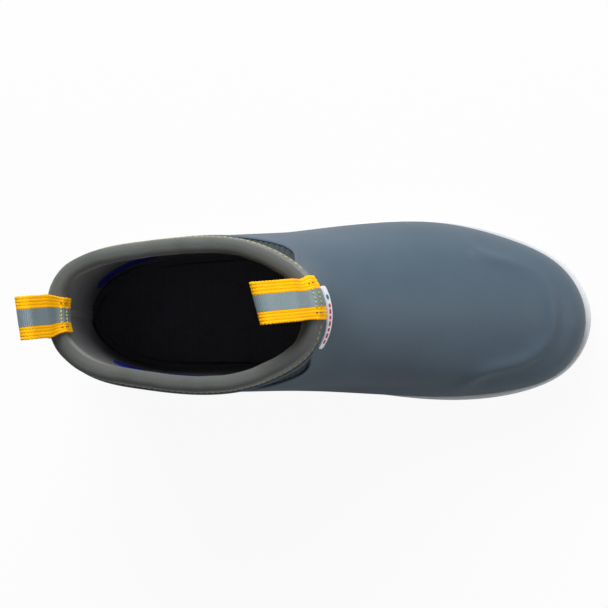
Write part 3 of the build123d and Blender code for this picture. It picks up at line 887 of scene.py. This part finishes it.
class DECKBOOT_OT_upper(DeckBootOperator):
    """Model the moulded rubber upper with its toe crease and its two panel openings"""

    bl_idname = "deck_boot.upper"
    bl_label = "Upper"

    def execute(self, context):
        sizes = self.sizes()
        heights, shares = upper_heights(), upper_shares()

        def place(u, v):
            share, height = spread(shares, u), spread(heights, v)
            return LAST.at(share, height, crease_lift(LAST.at(share, height), sizes.crease_height))

        upper = laid_grid("upper", len(shares) - 1, len(heights) - 1, place)
        edit(upper, merge)
        modify(upper, "SOLIDIFY", thickness=sizes.upper_wall, offset=-1.0, use_even_offset=True)
        edit(upper, face_out)
        for name in WINDOWS:
            cutter = self.cutter(name)
            modify(upper, "BOOLEAN", operation="DIFFERENCE", object=cutter, solver="EXACT")
            bpy.data.objects.remove(cutter)
        smooth(upper, 40)
        dress(upper, "upper_rubber_finish", nodes=("upper_shell",))
        for name in WINDOWS:
            self.lip(name)
        return {"FINISHED"}

    def cutter(self, name):
        """A prism that cuts one opening through one side of the wall."""
        outline, side = window_outline(name), SIDES[name]
        clear_selection()
        bpy.ops.mesh.primitive_circle_add(vertices=len(outline), radius=1.0, fill_type="NGON")
        cutter = bpy.context.object
        flat = np.stack([outline[:, 0], np.full(len(outline), side * 0.010), outline[:, 1]], axis=1)
        cutter.data.vertices.foreach_set("co", flat.astype(np.float32).ravel())
        edit(cutter, lambda: bpy.ops.mesh.extrude_region_move(
            TRANSFORM_OT_translate={"value": (0, side * 0.060, 0)}))
        edit(cutter, face_out)
        return cutter

    def lip(self, name):
        """The raised rubber edge round one opening."""
        shares, heights = window_path(name, 150, UPPER_TOP - 0.008)
        centre = LAST.at(shares, heights)
        along = np.gradient(centre, axis=0)
        along /= np.linalg.norm(along, axis=1, keepdims=True)
        out = LAST.at(shares, heights, 1.0) - centre
        across = np.cross(along, out)
        across /= np.linalg.norm(across, axis=1, keepdims=True)

        def place(u, v):
            angle = 2 * math.pi * v
            taper = np.clip(np.minimum(u, 1 - u) / 0.02, 0.15, 1)
            spot, beside, above = (np.stack(read_rows(table, u), axis=1) for table in (centre, across, out))
            side, lift = np.cos(angle) * LIP_HALF_WIDTH * taper, np.sin(angle) * LIP_RISE * taper
            return spot + beside * side[:, None] + above * lift[:, None]

        lip = laid_grid(f"{name}_opening_lip", 150, 12, place)
        tube(lip)
        dress(lip, "upper_rubber_finish")


class DECKBOOT_OT_stretch_panels(DeckBootOperator):
    """Model the two ribbed stretch panels behind the upper's openings"""

    bl_idname = "deck_boot.stretch_panels"
    bl_label = "Stretch Panels"

    def execute(self, context):
        for name in WINDOWS:
            self.panel(name)
        return {"FINISHED"}

    def panel(self, name):
        """One panel: vertical ribs crossed by fine dimples, a little below the upper's face."""
        sizes = self.sizes()
        front, rear = WINDOWS[name]
        bottom, top = WINDOW_SILL - 0.002, UPPER_TOP - 0.002
        outline = window_outline(name)
        half = len(outline) // 2

        def edge_shares(run, overlap):
            edge = np.interp(rows, run[:, 1], run[:, 0]) + overlap
            return [LAST.share_at(height, 0, x, *SIDE_SHARES[name]) for height, x in zip(rows, edge)]

        rows = np.linspace(bottom, top, 40)
        starts = edge_shares(outline[:half][::-1], PANEL_OVERLAP)
        ends = edge_shares(outline[half:], -PANEL_OVERLAP)
        ribs = abs(front - rear) / sizes.rib_pitch

        def place(u, v):
            height = bottom + (top - bottom) * v
            start, end = np.interp(height, rows, starts), np.interp(height, rows, ends)
            share = start + (end - start) * u
            rib = np.abs(np.sin(math.pi * (LAST.at(share, height)[:, 0] - front) / sizes.rib_pitch))
            dimple = np.sin(2 * math.pi * height / 0.0034) * 0.22
            return LAST.at(share, height, PANEL_FACE + sizes.rib_height * (rib - 1.0 + dimple * rib))

        panel = laid_grid(f"{name}_stretch_panel", int(ribs * 7), 60, place)
        sheet(panel, 0.0008, SIDES[name], 50)
        dress(panel, "gore_rubber_finish", nodes=(f"{name}_gore",))


# ---- Sock and footbed -----------------------------------------------------------------------------
SOCK_FACE = -0.0065
SEAM_WIDTH, SOCK_ROUND = 0.0065, 0.42
BAR_ASPECT, BAR_CORNER = 2.6, 0.98
FOOTBED_INSET, FOOTBED_CROWN = -0.0106, 0.0012
STAND_OFF = 0.0002
SOCK_FOOT, SOCK_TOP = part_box("sock")[0][2] + 0.003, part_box("sock")[1][2]


class DECKBOOT_OT_sock(DeckBootOperator):
    """Model the knit-faced sock, its heel seam and the two plain printed bars"""

    bl_idname = "deck_boot.sock"
    bl_label = "Sock"

    def execute(self, context):
        heights = np.concatenate([np.linspace(SOCK_FOOT, 0.05, 12)[:-1], np.linspace(0.05, SOCK_TOP, 60)])

        def place(u, v):
            height = spread(heights, v)
            angle = 2 * math.pi * u
            ease = np.clip((SOCK_TOP - 0.012 - height) / 0.04, 0, 1) * np.clip((height - 0.03) / 0.02, 0, 1)
            slack = 0.00035 * np.sin(7 * angle + 40 * height) * np.sin(90 * height + 2 * np.sin(angle)) * ease
            return LAST.at(u, height, SOCK_FACE + slack)

        def measure(u, v):
            return u * 0.6, spread(heights, v)

        sock = laid_grid("sock_lining", 220, len(heights) - 1, place, measure)
        edit(sock, merge)
        sheet(sock, 0.0026, 1.0, 50)
        dress(sock, "neoprene_finish", nodes=("sock",))
        self.seam()
        self.bar("outer_sock_print", 0.882, 0.962, 0.064, 0.088)
        self.bar("inner_sock_print", 0.085, 0.190, 0.074, 0.103)
        return {"FINISHED"}

    def seam(self):
        """A flat sewn seam down the inside of the heel."""
        bottom, top = 0.034, 0.1385

        def place(u, v):
            crown = 0.0005 * np.sqrt(np.clip(1 - (2 * u - 1) ** 2, 0, 1))
            share = (u - 0.5) * SEAM_WIDTH / SOCK_ROUND
            return LAST.at(share, bottom + (top - bottom) * v, SOCK_FACE - STAND_OFF - crown)

        def measure(u, v):
            return (u - 0.5) * SEAM_WIDTH, v * (top - bottom)

        seam = laid_grid("sock_heel_seam", 10, 60, place, measure)
        sheet(seam, 0.0004, 1.0, 60)
        dress(seam, "neoprene_finish")

    def bar(self, name, start, end, low, high):
        """A plain printed bar with rounded ends on the sock's face."""

        def place(u, v):
            x, y = rounded((u * 2 - 1) * BAR_ASPECT, v * 2 - 1, BAR_ASPECT, 1.0, BAR_CORNER)
            share = (start + end) / 2 + (end - start) / 2 * x / BAR_ASPECT
            height = (low + high) / 2 + (high - low) / 2 * y
            return LAST.at(share, height, SOCK_FACE - 0.0004)

        bar = laid_grid(name, 36, 14, place)
        sheet(bar, 0.00025, 1.0, 50)
        dress(bar, "sock_print_finish")


def rounded(x, y, half_x, half_y, radius):
    """Moves points of a rectangle in so that its corners become round."""
    corner_x, corner_y = np.abs(x) - (half_x - radius), np.abs(y) - (half_y - radius)
    in_corner = (corner_x > 0) & (corner_y > 0)
    reach = np.hypot(corner_x, corner_y)
    scale = np.where(in_corner & (reach > 0), np.maximum(corner_x, corner_y) / np.maximum(reach, 1e-9), 1.0)
    new_x = np.where(in_corner, np.sign(x) * (half_x - radius + corner_x * scale), x)
    new_y = np.where(in_corner, np.sign(y) * (half_y - radius + corner_y * scale), y)
    return new_x, new_y


class DECKBOOT_OT_footbed_cloth(DeckBootOperator):
    """Model the footbed's cloth face, slightly dished at the heel and the ball"""

    bl_idname = "deck_boot.footbed_cloth"
    bl_label = "Footbed Cloth"

    def execute(self, context):
        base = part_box("footbed_cloth")[1][2]

        def place(u, v):
            ring = LAST.at(u, np.full(len(u), base + 0.011), FOOTBED_INSET)
            spine = np.clip(ring[:, 0], -0.085, 0.105)
            centre = np.stack([spine, np.full(len(u), 0.0), np.full(len(u), base)], axis=1)
            ring[:, 2] = base
            points = centre + (ring - centre) * v[:, None]
            points[:, 2] += FOOTBED_CROWN * (1 - v**2) * (1 + np.sin(55 * points[:, 0])) + STAND_OFF
            return points

        cloth = laid_grid("footbed_face", 180, 26, place, measure=lambda u, v: tuple(place(u, v)[:, :2].T))
        edit(cloth, merge)
        sheet(cloth, 0.0008, -1.0, 50)
        dress(cloth, "footbed_fabric_finish", nodes=("footbed_cloth",))
        return {"FINISHED"}


# ---- Collar ---------------------------------------------------------------------------------------
BINDING_LOW, BINDING_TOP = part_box("collar_binding")[0][2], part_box("collar_binding")[1][2]
BINDING_OUT, BINDING_IN, BINDING_ROUND = 0.0007, -0.0074, 0.0036
COLLAR_HEIGHT = 0.146
TAB_CLEARANCE = 0.0155
# The binding's puckers at its stitches and its waves, and the shares between which the welt runs.
PUCKER, SLOW_WAVE, QUICK_WAVE = 0.00012, 0.00025, 0.0002
WELT_START, WELT_END, WELT_DROP = 0.02, 0.46, 0.0024
STITCH_HEIGHT, STITCH_LIFT = 0.0030, 0.00095


def binding_section():
    """The folded tape's section as (stand-off, height) points, from the outer hem over to the inner hem."""
    points = [(0.00015, BINDING_LOW + 0.0003), (0.0006, BINDING_LOW), (0.00105, BINDING_LOW + 0.0006),
              (0.00105, BINDING_LOW + 0.0016), (0.00075, BINDING_LOW + 0.0024), (0.00100, BINDING_LOW + 0.0040),
              (BINDING_OUT, BINDING_LOW + 0.0065)]
    turns = [math.radians(angle) for angle in range(0, 91, 10)]
    arc = [(BINDING_ROUND * (1 - math.cos(turn)), BINDING_TOP - BINDING_ROUND * (1 - math.sin(turn)))
           for turn in turns]
    points += [(BINDING_OUT - inwards, height) for inwards, height in arc]
    points += [(BINDING_IN + outwards, height) for outwards, height in reversed(arc)]
    points += [(BINDING_IN - 0.0001, BINDING_LOW + 0.0065), (BINDING_IN, BINDING_LOW + 0.0035),
               (BINDING_IN + 0.0003, BINDING_LOW + 0.0022), (BINDING_IN - 0.0001, BINDING_LOW + 0.0012),
               (BINDING_IN + 0.0004, BINDING_LOW + 0.0001), (BINDING_IN + 0.0008, BINDING_LOW + 0.0004)]
    return np.array(points)


class DECKBOOT_OT_binding(DeckBootOperator):
    """Model the woven binding folded over the collar, and its row of stitches"""

    bl_idname = "deck_boot.binding"
    bl_label = "Binding"

    def execute(self, context):
        section = binding_section()
        inner = np.array([(BINDING_IN + 0.0012, BINDING_LOW + 0.0008), (-0.004, BINDING_TOP - 0.0026),
                          (-0.001, BINDING_TOP - 0.0030), (-0.0006, BINDING_LOW + 0.0008)])
        loop = np.concatenate([section, inner, section[:1]])
        table = np.column_stack([loop, run_lengths(loop)])
        length = ring_length(COLLAR_HEIGHT)

        def place(u, v):
            out, height, _ = read_rows(table, v)
            pucker = PUCKER * np.sin(2 * math.pi * u * length / self.sizes().stitch_pitch)
            near_hem = np.exp(-(((height - BINDING_LOW - 0.002) / 0.002) ** 2)) * np.sign(out + 0.003)
            wave = SLOW_WAVE * np.sin(2 * math.pi * (9 * u + 0.2))
            wave = wave + QUICK_WAVE * np.sin(2 * math.pi * (23 * u))
            return LAST.at(u, height, out + pucker * near_hem + wave * (height - BINDING_LOW) / 0.0125 * 0.5)

        def measure(u, v):
            return u * length, read_rows(table, v)[2]

        binding = laid_grid("collar_tape", 560, len(loop) - 1, place, measure)
        edit(binding, merge, face_out)
        smooth(binding, 60)
        dress(binding, "binding_fabric_finish", nodes=("collar_binding",))
        self.stitches(length)
        self.edge_cord()
        return {"FINISHED"}

    def stitches(self, length):
        """One row along the outer hem, left out under the pull tabs."""
        pitch = self.sizes().stitch_pitch
        count = int(length / pitch)
        height = BINDING_LOW + STITCH_HEIGHT
        seats = []
        for share in (np.arange(count) + 0.5) / count:
            point, ahead = LAST.at(np.array([share, share + 0.002]), np.full(2, height), STITCH_LIFT)
            if min(np.linalg.norm(point[:2] - hinge[:2]) for hinge in TAB_HINGES.values()) < TAB_CLEARANCE:
                continue
            out = LAST.at(share, height, 1.0) - LAST.at(share, height, 0.0)
            seats.append((point, unit(ahead - point), out))
        row = stitch_row("collar_hem_stitches", seats, pitch * 0.80, 0.00085, 0.0006)
        dress(row, "olive_thread_finish", nodes=("collar_stitching",))

    def edge_cord(self):
        """The welt that stands out below the binding along the inner side."""

        def place(u, v):
            angle = 2 * math.pi * v
            share = WELT_START + (WELT_END - WELT_START) * u
            full = np.sin(np.clip(np.minimum(u, 1 - u) / 0.10, 0, 1) * math.pi / 2)
            height = BINDING_LOW - WELT_DROP + 0.0017 * np.sin(angle) * full
            return LAST.at(share, height, 0.0002 + full * (0.0007 + 0.0012 * np.cos(angle)))

        cord = laid_grid("collar_welt", 260, 12, place)
        tube(cord)
        dress(cord, "upper_rubber_finish")


# ---- Front label ----------------------------------------------------------------------------------
LABEL_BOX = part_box("front_label")
LABEL_Y, LABEL_Z = -0.001, (LABEL_BOX[0][2] + LABEL_BOX[1][2]) / 2
LABEL_HALF_Y, LABEL_HALF_Z = (LABEL_BOX[1][1] - LABEL_BOX[0][1]) / 2 - 0.0008, 0.0024


def front_point(y, z, out):
    """Points over the boot's front at places across it."""
    heights = np.linspace(z.min() - 1e-4, z.max() + 1e-4, 12)
    ys = np.linspace(-0.022, 0.022, 45)
    table = np.array([[LAST.share_at(h, 1, value, 0.42, 0.58) for value in ys] for h in heights])
    row = np.interp(z, heights, np.arange(12))
    low = np.clip(row.astype(int), 0, 10)
    part = row - low
    column = np.interp(y, ys, np.arange(45))
    left = np.clip(column.astype(int), 0, 43)
    side = column - left
    near = table[low, left] * (1 - side) + table[low, left + 1] * side
    far = table[low + 1, left] * (1 - side) + table[low + 1, left + 1] * side
    return LAST.at(near * (1 - part) + far * part, z, out)


class DECKBOOT_OT_label(DeckBootOperator):
    """Model the small front label with its plain red bars and blue dot"""

    bl_idname = "deck_boot.label"
    bl_label = "Front Label"

    def execute(self, context):
        self.patch("front_patch", LABEL_Y, LABEL_Z, LABEL_HALF_Y, LABEL_HALF_Z, 0.0012, 0.0001, 0.0009,
                   (48, 16), "label_rubber_finish", "label_rubber", ("front_label",))
        bars = []
        for step in range(7):
            width = 0.00125 if step % 2 else 0.0009
            y = -0.0135 + step * 0.0031
            bars.append(self.patch(f"bar_{step}", y, LABEL_Z + 0.0002, width, 0.0010, 0.0004, 0.00102, 0.00018,
                                   (4, 6), "label_print_finish", None, ()))
        row = join(bars, "front_patch_bars")
        dress(row, "label_print_finish", nodes=("front_label_bars",))
        self.patch("front_patch_dot", 0.0095, LABEL_Z + 0.0004, 0.0013, 0.0013, 0.00125, 0.00102, 0.00018,
                   (8, 8), "label_dot_finish", "label_print", ())
        return {"FINISHED"}

    def patch(self, name, y0, z0, half_y, half_z, radius, out, thick, cells, finish, slot, nodes):
        """A rounded patch lying on the boot's front."""

        def place(u, v):
            y, z = rounded((u * 2 - 1) * half_y, (v * 2 - 1) * half_z, half_y, half_z, radius)
            return front_point(y0 + y, z0 + z, out)

        patch = laid_grid(name, cells[0], cells[1], place)
        turned = patch.data.polygons[0].normal.x < 0
        sheet(patch, thick, -1.0 if turned else 1.0, 50)
        if slot:
            dress(patch, finish, nodes=nodes)
        return patch


# ---- Pull tabs ------------------------------------------------------------------------------------
JOINTS = {joint["name"]: joint for joint in frame["joints"]}
TAB_HINGES = {name: np.array(JOINTS[f"{name}_loop_fold"]["pos_m"], float) for name in ("front", "rear")}
ACROSS = np.array(JOINTS["front_loop_fold"]["axis"], float)
TO_HEEL = np.array([-ACROSS[1], ACROSS[0], 0.0])
TAB_OUT = {"front": -TO_HEEL, "rear": TO_HEEL}
TAB_LEAN = {"front": math.radians(62), "rear": math.radians(24)}
TAB_SKEW = {"front": 0.20, "rear": 0.10}
TAB_SHARES = {"front": (0.40, 0.60), "rear": (-0.10, 0.10)}
LOOP_REACH, LOOP_ROOT, LOOP_FOLD = 0.0253, 0.0015, 0.0030
TAB_GAP = 0.0009
TAB_FOOT = BINDING_LOW - 0.0002
# How far round its rounded edge the webbing lies on the binding, how far along the loop its sides are set
# out, and how far round the loop's end, all in the order they come on the way up.
EDGE_TURNS, LOOP_STEPS, FOLD_TURNS = (25, 50), (0.30, 0.55, 0.85), (30, 80, 130, 190)
TAPE_RISE = 0.00032
# The box of stitches: the rows' distances from the top of the leg, and the stitches' spacing across.
ROW_LOW, ROW_HIGH, ROW_STEP, SIDE_STEP = 0.0010, 0.0036, 0.0022, 0.0074


class Strap(Surface):
    """A pull tab's webbing: up the collar's outside, round the loop and down the collar's inside.

    Its rows run along the webbing and its columns across it.
    """

    ROWS, COLUMNS = 520, 23

    def __init__(self, name):
        self.hinge, outward, lean = TAB_HINGES[name], TAB_OUT[name], TAB_LEAN[name]
        self.along = TO_HEEL * math.sin(lean) + np.array([0, 0, 1.0]) * math.cos(lean)
        self.normal = np.cross(ACROSS, self.along)
        if self.normal @ outward < 0:
            self.normal = -self.normal
        self.widths = np.linspace(-TAB_WIDTH / 2, TAB_WIDTH / 2, self.COLUMNS)
        self.reach = LOOP_REACH + TAB_SKEW[name] * self.widths
        self.shares = self.collar_shares(*TAB_SHARES[name])
        leg = np.linspace(TAB_FOOT, BINDING_TOP - BINDING_ROUND, 5)
        keys = [self.on_collar(z, BINDING_OUT + TAB_GAP) for z in leg]
        keys += [self.over_top(BINDING_OUT, angle, -1) for angle in EDGE_TURNS]
        keys += [self.loop_side(share, 1) for share in LOOP_STEPS]
        keys += [self.fold(angle) for angle in FOLD_TURNS]
        keys += [self.loop_side(share, -1) for share in LOOP_STEPS[::-1]]
        keys += [self.over_top(BINDING_IN, angle, 1) for angle in EDGE_TURNS[::-1]]
        keys += [self.on_collar(z, BINDING_IN - TAB_GAP) for z in leg[::-1]]
        keys = np.array(keys)
        knots = run_lengths(keys[:, self.COLUMNS // 2])
        self.length = float(knots[-1])
        super().__init__(open_spline(keys, knots, np.linspace(0, knots[-1], self.ROWS)), False)
        if self.normals[20, self.COLUMNS // 2] @ outward < 0:
            self.normals = -self.normals

    def collar_shares(self, low, high):
        """Where on the collar's ring the webbing lies, at each place across it."""
        shares = np.linspace(low, high, 400)
        across = (LAST.at(shares, np.full(400, COLLAR_HEIGHT)) - self.hinge) @ ACROSS
        order = np.argsort(across)
        return np.interp(self.widths, across[order], shares[order])

    def on_collar(self, height, out):
        """Webbing lying on the collar."""
        return LAST.at(self.shares, np.full(self.COLUMNS, height), out)

    def over_top(self, edge, degrees, side):
        """Webbing lying on the binding's rounded edge."""
        turn, reach = math.radians(degrees), BINDING_ROUND + TAB_GAP
        height = BINDING_TOP - BINDING_ROUND + reach * math.sin(turn)
        return self.on_collar(height, edge + side * (BINDING_ROUND - reach * math.cos(turn)))

    def middle(self, share):
        """The loop's middle at a share of its length."""
        return self.hinge + ACROSS * self.widths[:, None] + self.along * (self.reach * share)[:, None]

    def loop_side(self, share, side):
        """One side of the loop at a share of its length."""
        return self.middle(share) + self.normal * (LOOP_ROOT + (LOOP_FOLD - LOOP_ROOT) * share) * side

    def fold(self, degrees):
        """The loop's rounded end; 0 is its outer side and 180 its inner side."""
        turn = math.radians(degrees)
        return self.middle(1.0) + (self.normal * math.cos(turn) + self.along * math.sin(turn)) * LOOP_FOLD

    def at(self, distance, width, out=0.0):
        """Points at a distance along the webbing and a place across it."""
        row = np.asarray(distance, float) / self.length * (self.ROWS - 1)
        column = (np.asarray(width, float) / TAB_WIDTH + 0.5) * (self.COLUMNS - 1)
        return self.lift(row, column, out)

    def seat(self, distance, width, out, step):
        """Where one stitch lies on the webbing, running towards a step along and across it."""
        point = self.at(distance, width, out)
        normal = unit(self.at(distance, width, out + 0.001) - point)
        return point, unit(self.at(distance + step[0], width + step[1], out) - point), normal


class DECKBOOT_OT_pull_tabs(DeckBootOperator):
    """Model the two webbing pull tabs with their reflective tape and box stitching"""

    bl_idname = "deck_boot.pull_tabs"
    bl_label = "Pull Tabs"

    def execute(self, context):
        for name in TAB_HINGES:
            strap = Strap(name)
            self.webbing(name, strap)
            self.tape(name, strap)
            self.stitches(name, strap)
        return {"FINISHED"}

    def bend(self, name, piece):
        """Bakes a piece's placement into its mesh."""
        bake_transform(piece)

    def section(self, half):
        """The webbing's section as (across, stand-off) points: ribbed bands beside a flat middle."""
        edge, corner = TAB_WIDTH / 2, 0.0002
        top = []
        for across in np.linspace(-edge + corner, edge - corner, 60):
            inside = max(abs(across) - TAPE_WIDTH / 2, 0.0)
            top.append((across, half + 0.00020 * abs(math.sin(math.pi * inside / RIB_PITCH))))
        bottom = [(across, -out) for across, out in reversed(top)]
        right, left = [(edge, corner), (edge, -corner)], [(-edge, -corner), (-edge, corner)]
        return np.array(top + right + bottom + left + top[:1])

    def webbing(self, name, strap):
        """The ribbed webbing itself, one closed band of flat section."""
        section = self.section(self.sizes().webbing_thickness / 2)

        def place(u, v):
            across, out = read_rows(section, v)
            distance = u * strap.length
            past_tape = np.abs(across) - TAPE_WIDTH / 2
            beat = np.sin(2 * math.pi * distance / WEFT_PITCH + math.pi * np.floor(past_tape / RIB_PITCH))
            on_band = np.clip(past_tape / 0.0004, 0, 1)
            at_edge = np.clip((np.abs(across) - 0.0098) / 0.0012, 0, 1)
            scallop = 1 + 0.022 * at_edge * np.sin(2 * math.pi * distance / 0.0019)
            return strap.at(distance, across * scallop, out + np.sign(out) * 0.00010 * beat * on_band)

        def measure(u, v):
            return read_rows(section, v)[0], u * strap.length

        webbing = laid_grid(f"{name}_pull_tab", 300, len(section) - 1, place, measure)
        tube(webbing)
        dress(webbing, "webbing_finish", body=None,
              nodes=(f"{name}_tab_anchor", f"{name}_tab_loop"))
        self.bend(name, webbing)

    def tape(self, name, strap):
        """The reflective tape down the webbing's outer face."""
        base = self.sizes().webbing_thickness / 2

        def place(u, v):
            distance = 0.0006 + u * (strap.length - 0.0012)
            turn = v * 2 * math.pi
            across = np.clip(np.cos(turn) * 1.03, -1, 1) * TAPE_WIDTH / 2
            out = base - 0.0001 + TAPE_RISE * (0.5 + 0.5 * np.clip(np.sin(turn) * 6, -1, 1))
            rib = 0.00005 * np.abs(np.sin(math.pi * distance / TAPE_RIB_PITCH)) * (np.sin(turn) > 0.1)
            return strap.at(distance, across, out + rib)

        def measure(u, v):
            return np.cos(v * 2 * math.pi) * TAPE_WIDTH / 2, u * strap.length

        tape = laid_grid(f"{name}_reflective_tape", 420, 32, place, measure)
        tube(tape)
        dress(tape, "reflective_tape_finish", body=None,
              nodes=(f"{name}_anchor_tape", f"{name}_loop_tape"))
        self.bend(name, tape)

    def stitches(self, name, strap):
        """A box of stitches where the webbing is sewn to the collar."""
        leg = BINDING_TOP - BINDING_ROUND - BINDING_LOW
        rows = (leg - ROW_LOW, leg + ROW_HIGH)
        if name == "rear":
            rows = (strap.length - leg - ROW_HIGH, strap.length - leg + ROW_LOW)
        base = self.sizes().webbing_thickness / 2
        across, lengthwise = (0.00025, 0.0005), (0.0005, 0.0)
        light = [strap.seat(distance, step * ROW_STEP, base + 0.00045, across)
                 for distance in rows for step in range(-2, 3)]
        dark = [strap.seat(rows[0] + (rows[1] - rows[0]) * step / 2, side * SIDE_STEP, base + 0.00040,
                           lengthwise)
                for side in (-1, 1) for step in range(3)]
        row = stitch_row(f"{name}_tab_stitches", light, 0.0016, 0.00085, 0.0007)
        dress(row, "tab_thread_finish", nodes=(f"{name}_anchor_stitching",))
        shade = stitch_row(f"{name}_tab_side_stitches", dark, 0.0013, 0.00060, 0.0006)
        dress(shade, "shadow_thread_finish")
        if name == "rear":
            ends = [strap.seat(rows[1], side * 0.0122, 0.0004, lengthwise) for side in (-1, 1)]
            loose = stitch_row("rear_tab_thread_ends", ends, 0.0030, 0.00050, 0.0005)
            dress(loose, "tab_thread_finish")


# ---- Stage ----------------------------------------------------------------------------------------
CAMERA_PLACE, CAMERA_LENS = (0.0, 0.006, 1.0), 97.7
FLOOR_SIZE, FLOOR_DROP = 80.0, 0.0002
LIGHT_AIM = (0.02, 0.0, 0.06)
# name, place, size, power
LIGHTS = (
    ("key", (-0.30, 1.22, 1.08), 1.1, 46.0),
    ("toe", (1.45, 0.10, 0.80), 0.9, 8.0),
    ("fill", (0.95, -0.95, 0.60), 1.0, 3.5),
)
# How bright the surround is to the boot and to the camera, and how much of its own light the floor shows it.
SURROUND_TO_BOOT, SURROUND_TO_CAMERA, FLOOR_GLOW = 0.17, 0.92, 0.93


class DECKBOOT_OT_stage(DeckBootOperator):
    """Add the camera, the studio lights and the pale floor"""

    bl_idname = "deck_boot.stage"
    bl_label = "Stage"

    def execute(self, context):
        self.camera()
        self.floor()
        self.lights()
        return {"FINISHED"}

    def camera(self):
        """A camera straight above the boot, with the toe to the right."""
        clear_selection()
        bpy.ops.object.camera_add(location=CAMERA_PLACE, rotation=(0, 0, 0))
        camera = bpy.context.object
        camera.name = "overhead_camera"
        camera.data.sensor_width = 36.0
        camera.data.lens = CAMERA_LENS
        camera.data.clip_start, camera.data.clip_end = 0.05, 100.0
        bpy.context.scene.camera = camera

    def floor(self):
        """A large pale floor at the tread's foot."""
        clear_selection()
        bpy.ops.mesh.primitive_plane_add(size=FLOOR_SIZE, location=(0, 0, CAD_LOW[2] - FLOOR_DROP))
        floor = bpy.context.object
        floor.name = "studio_floor"
        n, shader, coordinates = start_material("floor_finish")
        noise = n.noise(coordinates["Object"], 3.0, 2.0)
        n.feed(shader["Base Color"], n.mix(noise, (0.54, 0.54, 0.54, 1), (0.58, 0.58, 0.58, 1)))
        n.feed(shader["Roughness"], 0.9)
        n.feed(shader["Specular IOR Level"], 0.1)
        glow = n.add("ShaderNodeEmission", {0: (1, 1, 1, 1), 1: 1.0}).outputs[0]
        seen = n.math("MULTIPLY", n.add("ShaderNodeLightPath").outputs["Is Camera Ray"], FLOOR_GLOW)
        lit = n.tree.nodes["Principled BSDF"].outputs[0]
        blend = n.add("ShaderNodeMixShader", {0: seen, 1: lit, 2: glow}).outputs[0]
        n.feed(n.tree.nodes["Material Output"].inputs["Surface"], blend)
        floor.data.materials.append(bpy.data.materials["floor_finish"])

    def lights(self):
        """A large low key light on the outer side, two weaker lights by the toe and a dim even surround."""
        for row in LIGHTS:
            self.light(*row)
        world = bpy.data.worlds.new("studio_surround")
        world.use_nodes = True
        n = Nodes(world.node_tree)
        seen = n.add("ShaderNodeLightPath").outputs["Is Camera Ray"]
        background = world.node_tree.nodes["Background"].inputs
        n.feed(background[0], (0.94, 0.97, 1.0, 1))
        n.feed(background[1], n.ramp(seen, 0.0, 1.0, SURROUND_TO_BOOT, SURROUND_TO_CAMERA))
        bpy.context.scene.world = world
        bpy.context.scene.view_settings.view_transform = "Standard"

    def light(self, name, location, size, power):
        """A square area light turned to the boot."""
        clear_selection()
        bpy.ops.object.light_add(type="AREA", location=location)
        light = bpy.context.object
        light.name = name
        light.data.size = size
        light.data.energy = power
        light.rotation_euler = (Vector(LIGHT_AIM) - Vector(location)).to_track_quat("-Z", "Y").to_euler()


OPERATORS = (
    DECKBOOT_OT_finishes,
    DECKBOOT_OT_upper,
    DECKBOOT_OT_stretch_panels,
    DECKBOOT_OT_sock,
    DECKBOOT_OT_footbed_cloth,
    DECKBOOT_OT_binding,
    DECKBOOT_OT_label,
    DECKBOOT_OT_pull_tabs,
    DECKBOOT_OT_stage,
)


class DECKBOOT_PT_panel(bpy.types.Panel):
    """The boot's steps, sizes and colours"""

    bl_idname = "DECKBOOT_PT_panel"
    bl_label = "Deck Boot"
    bl_space_type = "VIEW_3D"
    bl_region_type = "UI"
    bl_category = "Deck Boot"

    def draw(self, context):
        column = self.layout.column()
        for operator in OPERATORS:
            column.operator(operator.bl_idname)
        for group in (context.scene.deck_boot_sizes, context.scene.deck_boot_colours):
            for name in group.__annotations__:
                column.prop(group, name)


CLASSES = (DeckBootColours, DeckBootSizes) + OPERATORS + (DECKBOOT_PT_panel,)


def register():
    """Registers the add-on's classes and its scene properties."""
    for item in CLASSES:
        bpy.utils.register_class(item)
    bpy.types.Scene.deck_boot_colours = bpy.props.PointerProperty(type=DeckBootColours)
    bpy.types.Scene.deck_boot_sizes = bpy.props.PointerProperty(type=DeckBootSizes)


def unregister():
    """Removes what register added."""
    del bpy.types.Scene.deck_boot_sizes
    del bpy.types.Scene.deck_boot_colours
    for item in reversed(CLASSES):
        bpy.utils.unregister_class(item)


def main():
    """Builds every piece in order."""
    register()
    bpy.ops.deck_boot.stage()
    bpy.ops.deck_boot.finishes()
    bpy.ops.deck_boot.upper()
    bpy.ops.deck_boot.stretch_panels()
    bpy.ops.deck_boot.sock()
    bpy.ops.deck_boot.footbed_cloth()
    bpy.ops.deck_boot.binding()
    bpy.ops.deck_boot.label()
    bpy.ops.deck_boot.pull_tabs()


if __name__ == "__main__":
    main()
